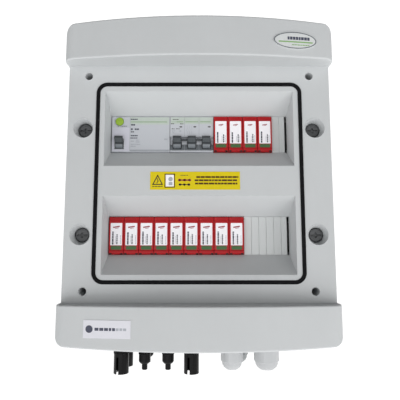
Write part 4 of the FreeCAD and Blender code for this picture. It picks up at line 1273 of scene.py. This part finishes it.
@dataclass
class Labels:
    """The sticker on the panel, and the plates on the bowed ribs."""

    rib_front: float = -145.0
    rib_drop: float = 13.5
    half_width: float = 157.0
    step: float = 3.0

    def bowed(self, proud: float) -> Depth:
        """Where the face of a plate on a rib is.

        Args:
            proud: Thickness of the plate.

        Returns:
            A function from x to the face's place, front to back.
        """
        radius = (self.half_width ** 2 + self.rib_drop ** 2) / (2 * self.rib_drop) + proud
        centre = self.rib_front - proud + radius

        def face(x: float) -> float:
            """The face's place at x."""
            return centre - math.sqrt(radius ** 2 - x ** 2)

        return face

    def dress(self) -> None:
        """Gives the labels their finish and generic marks."""
        eased("warning_sticker", Look.YELLOW, 0.08)
        paint("badge_plate", Look.BADGE)
        paint("blank_label", Look.TAG)
        self.sticker()
        self.badge()
        self.tag()

    def sticker(self) -> None:
        """Prints plain shapes and dashes on the sticker."""
        spot = Extent.of("warning_sticker")
        face, at = spot.y0, (spot.x0, spot.z)
        dark = Ink(face, 0.05, at)
        dark.loop([(3.2, -4.4), (14.0, -4.4), (8.6, 6.2)], 1.1)
        dark.line((8.0, 2.4), (9.2, -0.6), 0.9)
        dark.line((9.2, -0.6), (7.8, -2.8), 0.9)
        dark.row((2.6, 14.4), -6.8, 0.9, 5)
        for x in (34.6, 39.6, 44.8):
            dark.disc(x, -4.6, 1.6, 0.85)
        dark.bar((33.4, 46.0), (-5.1, -4.2))
        dark.row((35.2, 44.6), 6.2, 0.8, 7, (0.8, 2.0), 0.6)
        dark.piece("sticker_dark_print", "cover", Look.INK_BLACK, "sticker_yellow")
        brown = Ink(face, 0.05, at)
        brown.loop([(17.2, -7.6), (28.2, -7.6), (28.2, 7.6),
                    (17.2, 7.6)], 1.1)
        for i, (start, reach) in enumerate(((53.4, 48.6), (51.4, 49.8), (52.0, 48.8))):
            brown.row((start, start + reach), 4.2 - i * 3.8, 2.1, 11 + i, (2.2, 7.0), 0.5)
        brown.piece("sticker_brown_print", "cover", Look.INK_BROWN, "sticker_yellow")
        red = Ink(face, 0.05, at)
        red.bar((33.0, 46.4), (-0.1, 1.4))
        for x in (34.0, 39.8, 45.6):
            red.disc(x, 0.65, 1.8, 0.85)
        red.piece("sticker_red_print", "cover", Look.INK_RED, "sticker_yellow")
        pale = Ink(face, 0.04, at)
        pale.bar((18.0, 27.4), (-6.8, 6.8))
        pale.piece("sticker_light_field", "cover", Look.LABEL, "sticker_yellow")
        slate = Ink(face, 0.06, at)
        slate.disc(23.6, 1.8, 2.6, 1.0)
        slate.bar((21.4, 25.8), (-5.4, -1.6))
        slate.piece("sticker_grey_shape", "cover", Look.INK_PALE, "sticker_yellow")

    def badge(self) -> None:
        """Adds a rim, a line and a row of dashes to the oval badge."""
        spot = Extent.of("badge_plate")
        face = self.bowed(1.2)
        rim = Shape()
        steps = 72
        loops = []
        for across, up, proud in ((25.0, 10.0, -0.02), (24.4, 9.5, 0.16), (23.6, 8.8, 0.02)):
            loop = []
            for i in range(steps):
                angle = 2 * math.pi * i / steps
                x, z = spot.x + across * math.cos(angle), spot.z + up * math.sin(angle)
                loop.append(rim.mesh.verts.new(Vector((x, face(x) - proud, z)) * MM))
            loops.append(loop)
        for a, b in zip(loops, loops[1:]):
            for i in range(steps):
                j = (i + 1) % steps
                rim.mesh.faces.new((a[i], a[j], b[j], b[i]))
        rim.piece("badge_rim", "cover", Look.DEVICE_EDGE, "badge")
        dark = Ink(face, 0.08, (spot.x, spot.z), self.step)
        dark.row((-9.0, 18.0), 2.4, 3.6, 21, (2.0, 3.4), 0.55)
        dark.piece("badge_dashes", "cover", Look.INK_SLATE, "badge")
        green = Ink(face, 0.08, (spot.x, spot.z), self.step)
        green.bar((-19.5, 20.5), (-2.7, -1.2))
        green.row((-4.0, 17.0), -5.4, 1.1, 25, (1.6, 3.2), 0.5)
        green.piece("badge_line", "cover", Look.INK_GREEN, "badge")

    def tag(self) -> None:
        """Adds a plain disc and a row of dashes to the label on the lower rib."""
        spot = Extent.of("blank_label")
        face = self.bowed(0.4)
        dark = Ink(face, 0.06, (spot.x, spot.z), self.step)
        dark.disc(-19.0, 0, 3.9)
        dark.row((-13.0, 9.0), 0, 3.0, 23, (2.4, 4.4), 0.9)
        dark.piece("tag_print", "cover", Look.INK_SLATE, "label_white")
        pale = Ink(face, 0.06, (spot.x, spot.z), self.step)
        pale.row((9.8, 22.0), 0, 2.6, 29, (2.2, 3.8), 0.9)
        pale.piece("tag_light_print", "cover", Look.INK_PALE, "label_white")


@dataclass
class Connectors:
    """The solar connectors under the box."""

    ribs: int = 14
    split: float = -227.0
    wide_radius: float = 9.2
    slim_radius: float = 7.2

    def dress(self) -> None:
        """Gives the connectors their finish, grip ribs and contacts."""
        paint("pv_connector_nuts", Look.CONNECTOR)
        for number in range(1, 7):
            node = f"pv_connector_{number}"
            eased(node, Look.CONNECTOR, 0.3, 2, 32)
            spot = Extent.of(node)
            socket = spot.z0 < self.split
            self.grip(number, spot, self.wide_radius if socket else self.slim_radius, socket)
            self.contact(number, spot, socket)

    def grip(self, number: int, spot: Extent, radius: float, socket: bool) -> None:
        """Adds flutes round the connector's upper half.

        Args:
            number: The connector's number.
            spot: Its extent.
            radius: Its radius there.
            socket: Whether it is one of the wide ones.
        """
        shape = Shape()
        low, high = (-204.0, -188.0) if socket else (-205.0, -188.0)
        for i in range(self.ribs):
            turn = Matrix.Rotation(2 * math.pi * i / self.ribs + 0.2, 3, "Z")
            shape.prism([(radius - 0.3, -0.55), (radius + 0.42, -0.35), (radius + 0.42, 0.35),
                         (radius - 0.3, 0.55)], low, high, "Z", Vector((spot.x, spot.y, 0)), turn)
        shape.turned([(radius - 0.2, low - 1.6), (radius + 0.5, low - 1.3), (radius + 0.5, low - 0.2),
                      (radius - 0.2, low)], (spot.x, spot.y, 0), "Z", 40, ring=True)
        shape.piece(f"connector_grip_{number}", "base", Look.CONNECTOR, "connector_black", 0.12)

    def contact(self, number: int, spot: Extent, socket: bool) -> None:
        """Adds the metal contact that is seen from below, and the barrel round a wide one's.

        Args:
            number: The connector's number.
            spot: Its extent.
            socket: Whether it is one of the wide ones.
        """
        shape, foot = Shape(), (spot.x, spot.y, 0)
        if socket:
            shape.turned([(0, -215.5), (1.2, -215.5), (1.9, -214.4), (1.9, -204.8), (0, -204.8)],
                         foot, "Z", 24)
            barrel = Shape()
            barrel.turned([(3.7, -225.4), (4.6, -225.4), (4.9, -224.4), (4.9, -204.9), (3.7, -204.9)],
                          foot, "Z", 36, ring=True)
            barrel.piece(f"connector_barrel_{number}", "base", Look.CONNECTOR, "connector_black")
        else:
            shape.turned([(1.0, -222.4), (1.62, -222.4), (1.62, -214.0), (1.0, -214.0)],
                         foot, "Z", 24, ring=True)
        shape.piece(f"connector_contact_{number}", "base", Look.CONTACT, "connector_black")


@dataclass
class Glands:
    """The three cable glands: bodies, domed nuts, rubber rings and locknuts."""

    def dress(self) -> None:
        """Gives the glands their finish."""
        for number in (1, 2, 3):
            # The gland at the back gets the darker copy of the grey: painted shade.
            look = Look.GLAND_PAINTED_SHADE if number == 3 else Look.GLAND
            eased(f"gland_body_{number}", look, 0.35)
            eased(f"gland_nut_{number}", look, 0.5, 2, 28)
            paint(f"gland_seal_{number}", Look.GLAND_RUBBER)
        paint("gland_locknut_large", Look.GLAND)
        paint("gland_locknuts_small", Look.GLAND)


@dataclass
class TerminalBars:
    """The earth and neutral bars with their clamp screws."""

    rows: tuple[float, float] = (-124.5, 124.5)
    pitch: float = 9.0
    count: int = 9

    def dress(self) -> None:
        """Gives bars and screws their finish, and painted shade in the screw slots."""
        eased("earth_bar", Look.BRASS, 0.3)
        eased("neutral_bar", Look.BRASS, 0.3)
        eased("bar_screws", Look.ZINC, 0.15)
        # Near-black bars: painted shade in the screw slots.
        slots = Shape()
        for z in self.rows:
            for i in range(self.count):
                x = (i - self.count // 2) * self.pitch
                slots.block((x - 1.7, x + 1.7), (-38.06, -37.9), (z - 0.35, z + 0.35))
        slots.piece("bar_screw_slots", "base", Look.PAINTED_SHADE, "screw_steel")


@dataclass
class Studio:
    """A pale floor, soft lights and the camera."""

    floor: float = -900.0
    span: float = 9000.0
    glow: float = 0.95
    backdrop: float = 1.15
    lens: float = 37.8
    pitch: float = 6.83
    spot: tuple[float, float, float] = (0.0, -594.0, -80.0)

    def build(self) -> None:
        """Adds floor, world, lights and camera."""
        self.lay_floor()
        self.fill_world()
        self.hang_lights()
        self.set_camera()

    def lay_floor(self) -> None:
        """Adds the plain pale floor."""
        shape = Shape()
        shape.block((-self.span, self.span), (-self.span, self.span), (self.floor - 20, self.floor))
        thing = as_object(shape.mesh, "floor")
        wiring = Wiring("pale_floor")
        cloud = wiring.spread(wiring.noise(size=600, detail=2), 0, 1)
        wiring.tint(wiring.blend(cloud, (0.9, 0.9, 0.9), (0.94, 0.94, 0.94)))
        wiring.shader.inputs["Roughness"].default_value = 0.9
        wiring.shader.inputs["Emission Color"].default_value = (1, 1, 1, 1)
        wiring.shader.inputs["Emission Strength"].default_value = self.glow
        thing.data.materials.append(wiring.material)

    def fill_world(self) -> None:
        """Gives the world a soft white, weaker from above and plain where the camera sees it."""
        world = bpy.data.worlds.new("studio")
        bpy.context.scene.world = world
        world.use_nodes = True
        tree = world.node_tree
        back = next(n for n in tree.nodes if n.type == "BACKGROUND")
        spot = tree.nodes.new("ShaderNodeTexCoord")
        parts = tree.nodes.new("ShaderNodeSeparateXYZ")
        fall = tree.nodes.new("ShaderNodeMapRange")
        fall.inputs["From Min"].default_value = 0.12
        fall.inputs["From Max"].default_value = 0.6
        fall.inputs["To Min"].default_value = 1.0
        fall.inputs["To Max"].default_value = 0.03
        path = tree.nodes.new("ShaderNodeLightPath")
        pick = tree.nodes.new("ShaderNodeMix")
        pick.data_type = "FLOAT"
        pick.inputs[3].default_value = self.backdrop
        tree.links.new(spot.outputs["Generated"], parts.inputs["Vector"])
        tree.links.new(parts.outputs["Z"], fall.inputs["Value"])
        tree.links.new(fall.outputs["Result"], pick.inputs[2])
        tree.links.new(path.outputs["Is Camera Ray"], pick.inputs["Factor"])
        tree.links.new(pick.outputs[0], back.inputs["Strength"])
        back.inputs["Color"].default_value = (1, 1, 1, 1)

    def lamp(self, name: str, spot: tuple[float, float, float], aim: tuple[float, float, float],
             size: Point, power: float) -> None:
        """Adds a soft rectangular light.

        Args:
            name: Its name.
            spot: Where it is, in millimetres.
            aim: What it looks at.
            size: Its width and height.
            power: Its power, in watts.
        """
        data = bpy.data.lights.new(name, "AREA")
        data.shape = "RECTANGLE"
        data.size, data.size_y = size[0] * MM, size[1] * MM
        data.energy = power
        thing = bpy.data.objects.new(name, data)
        bpy.context.scene.collection.objects.link(thing)
        thing.location = Vector(spot) * MM
        thing.rotation_euler = (Vector(aim) - Vector(spot)).to_track_quat("-Z", "Y").to_euler()

    def hang_lights(self) -> None:
        """Adds a key from the right, a fill from low in front and a light behind."""
        self.lamp("right_key", (1100, -1000, -250), (0, -100, 0), (900, 700), 3.0)
        self.lamp("low_fill", (-200, -1100, -750), (0, -100, 0), (1200, 500), 2.2)
        self.lamp("back_fill", (300, 1200, 500), (0, 0, 0), (1500, 1100), 3.0)

    def set_camera(self) -> None:
        """Places the camera below the middle, looking slightly up."""
        data = bpy.data.cameras.new("camera")
        data.lens = self.lens
        data.sensor_width = 36.0
        data.shift_x = 0.0025
        data.clip_start, data.clip_end = 0.02, 60.0
        thing = bpy.data.objects.new("camera", data)
        bpy.context.scene.collection.objects.link(thing)
        thing.location = Vector(self.spot) * MM
        thing.rotation_euler = (math.radians(90 + self.pitch), 0, 0)
        bpy.context.scene.camera = thing


def main() -> None:
    """Builds the studio and every sub-assembly in order."""
    logging.basicConfig(level=logging.INFO, format="%(name)s: %(message)s")
    bpy.context.scene.view_settings.view_transform = "Standard"
    Studio().build()
    for part in (Enclosure(), DoorSeal(), CoverScrews(), Rails(), ResidualBreaker(), MainBreaker(),
                 SurgeArresters(), BlankingStrips(), Labels(), Connectors(), Glands(), TerminalBars()):
        part.dress()
        log.info("%s is done", type(part).__name__)


if __name__ == "__main__":
    main()
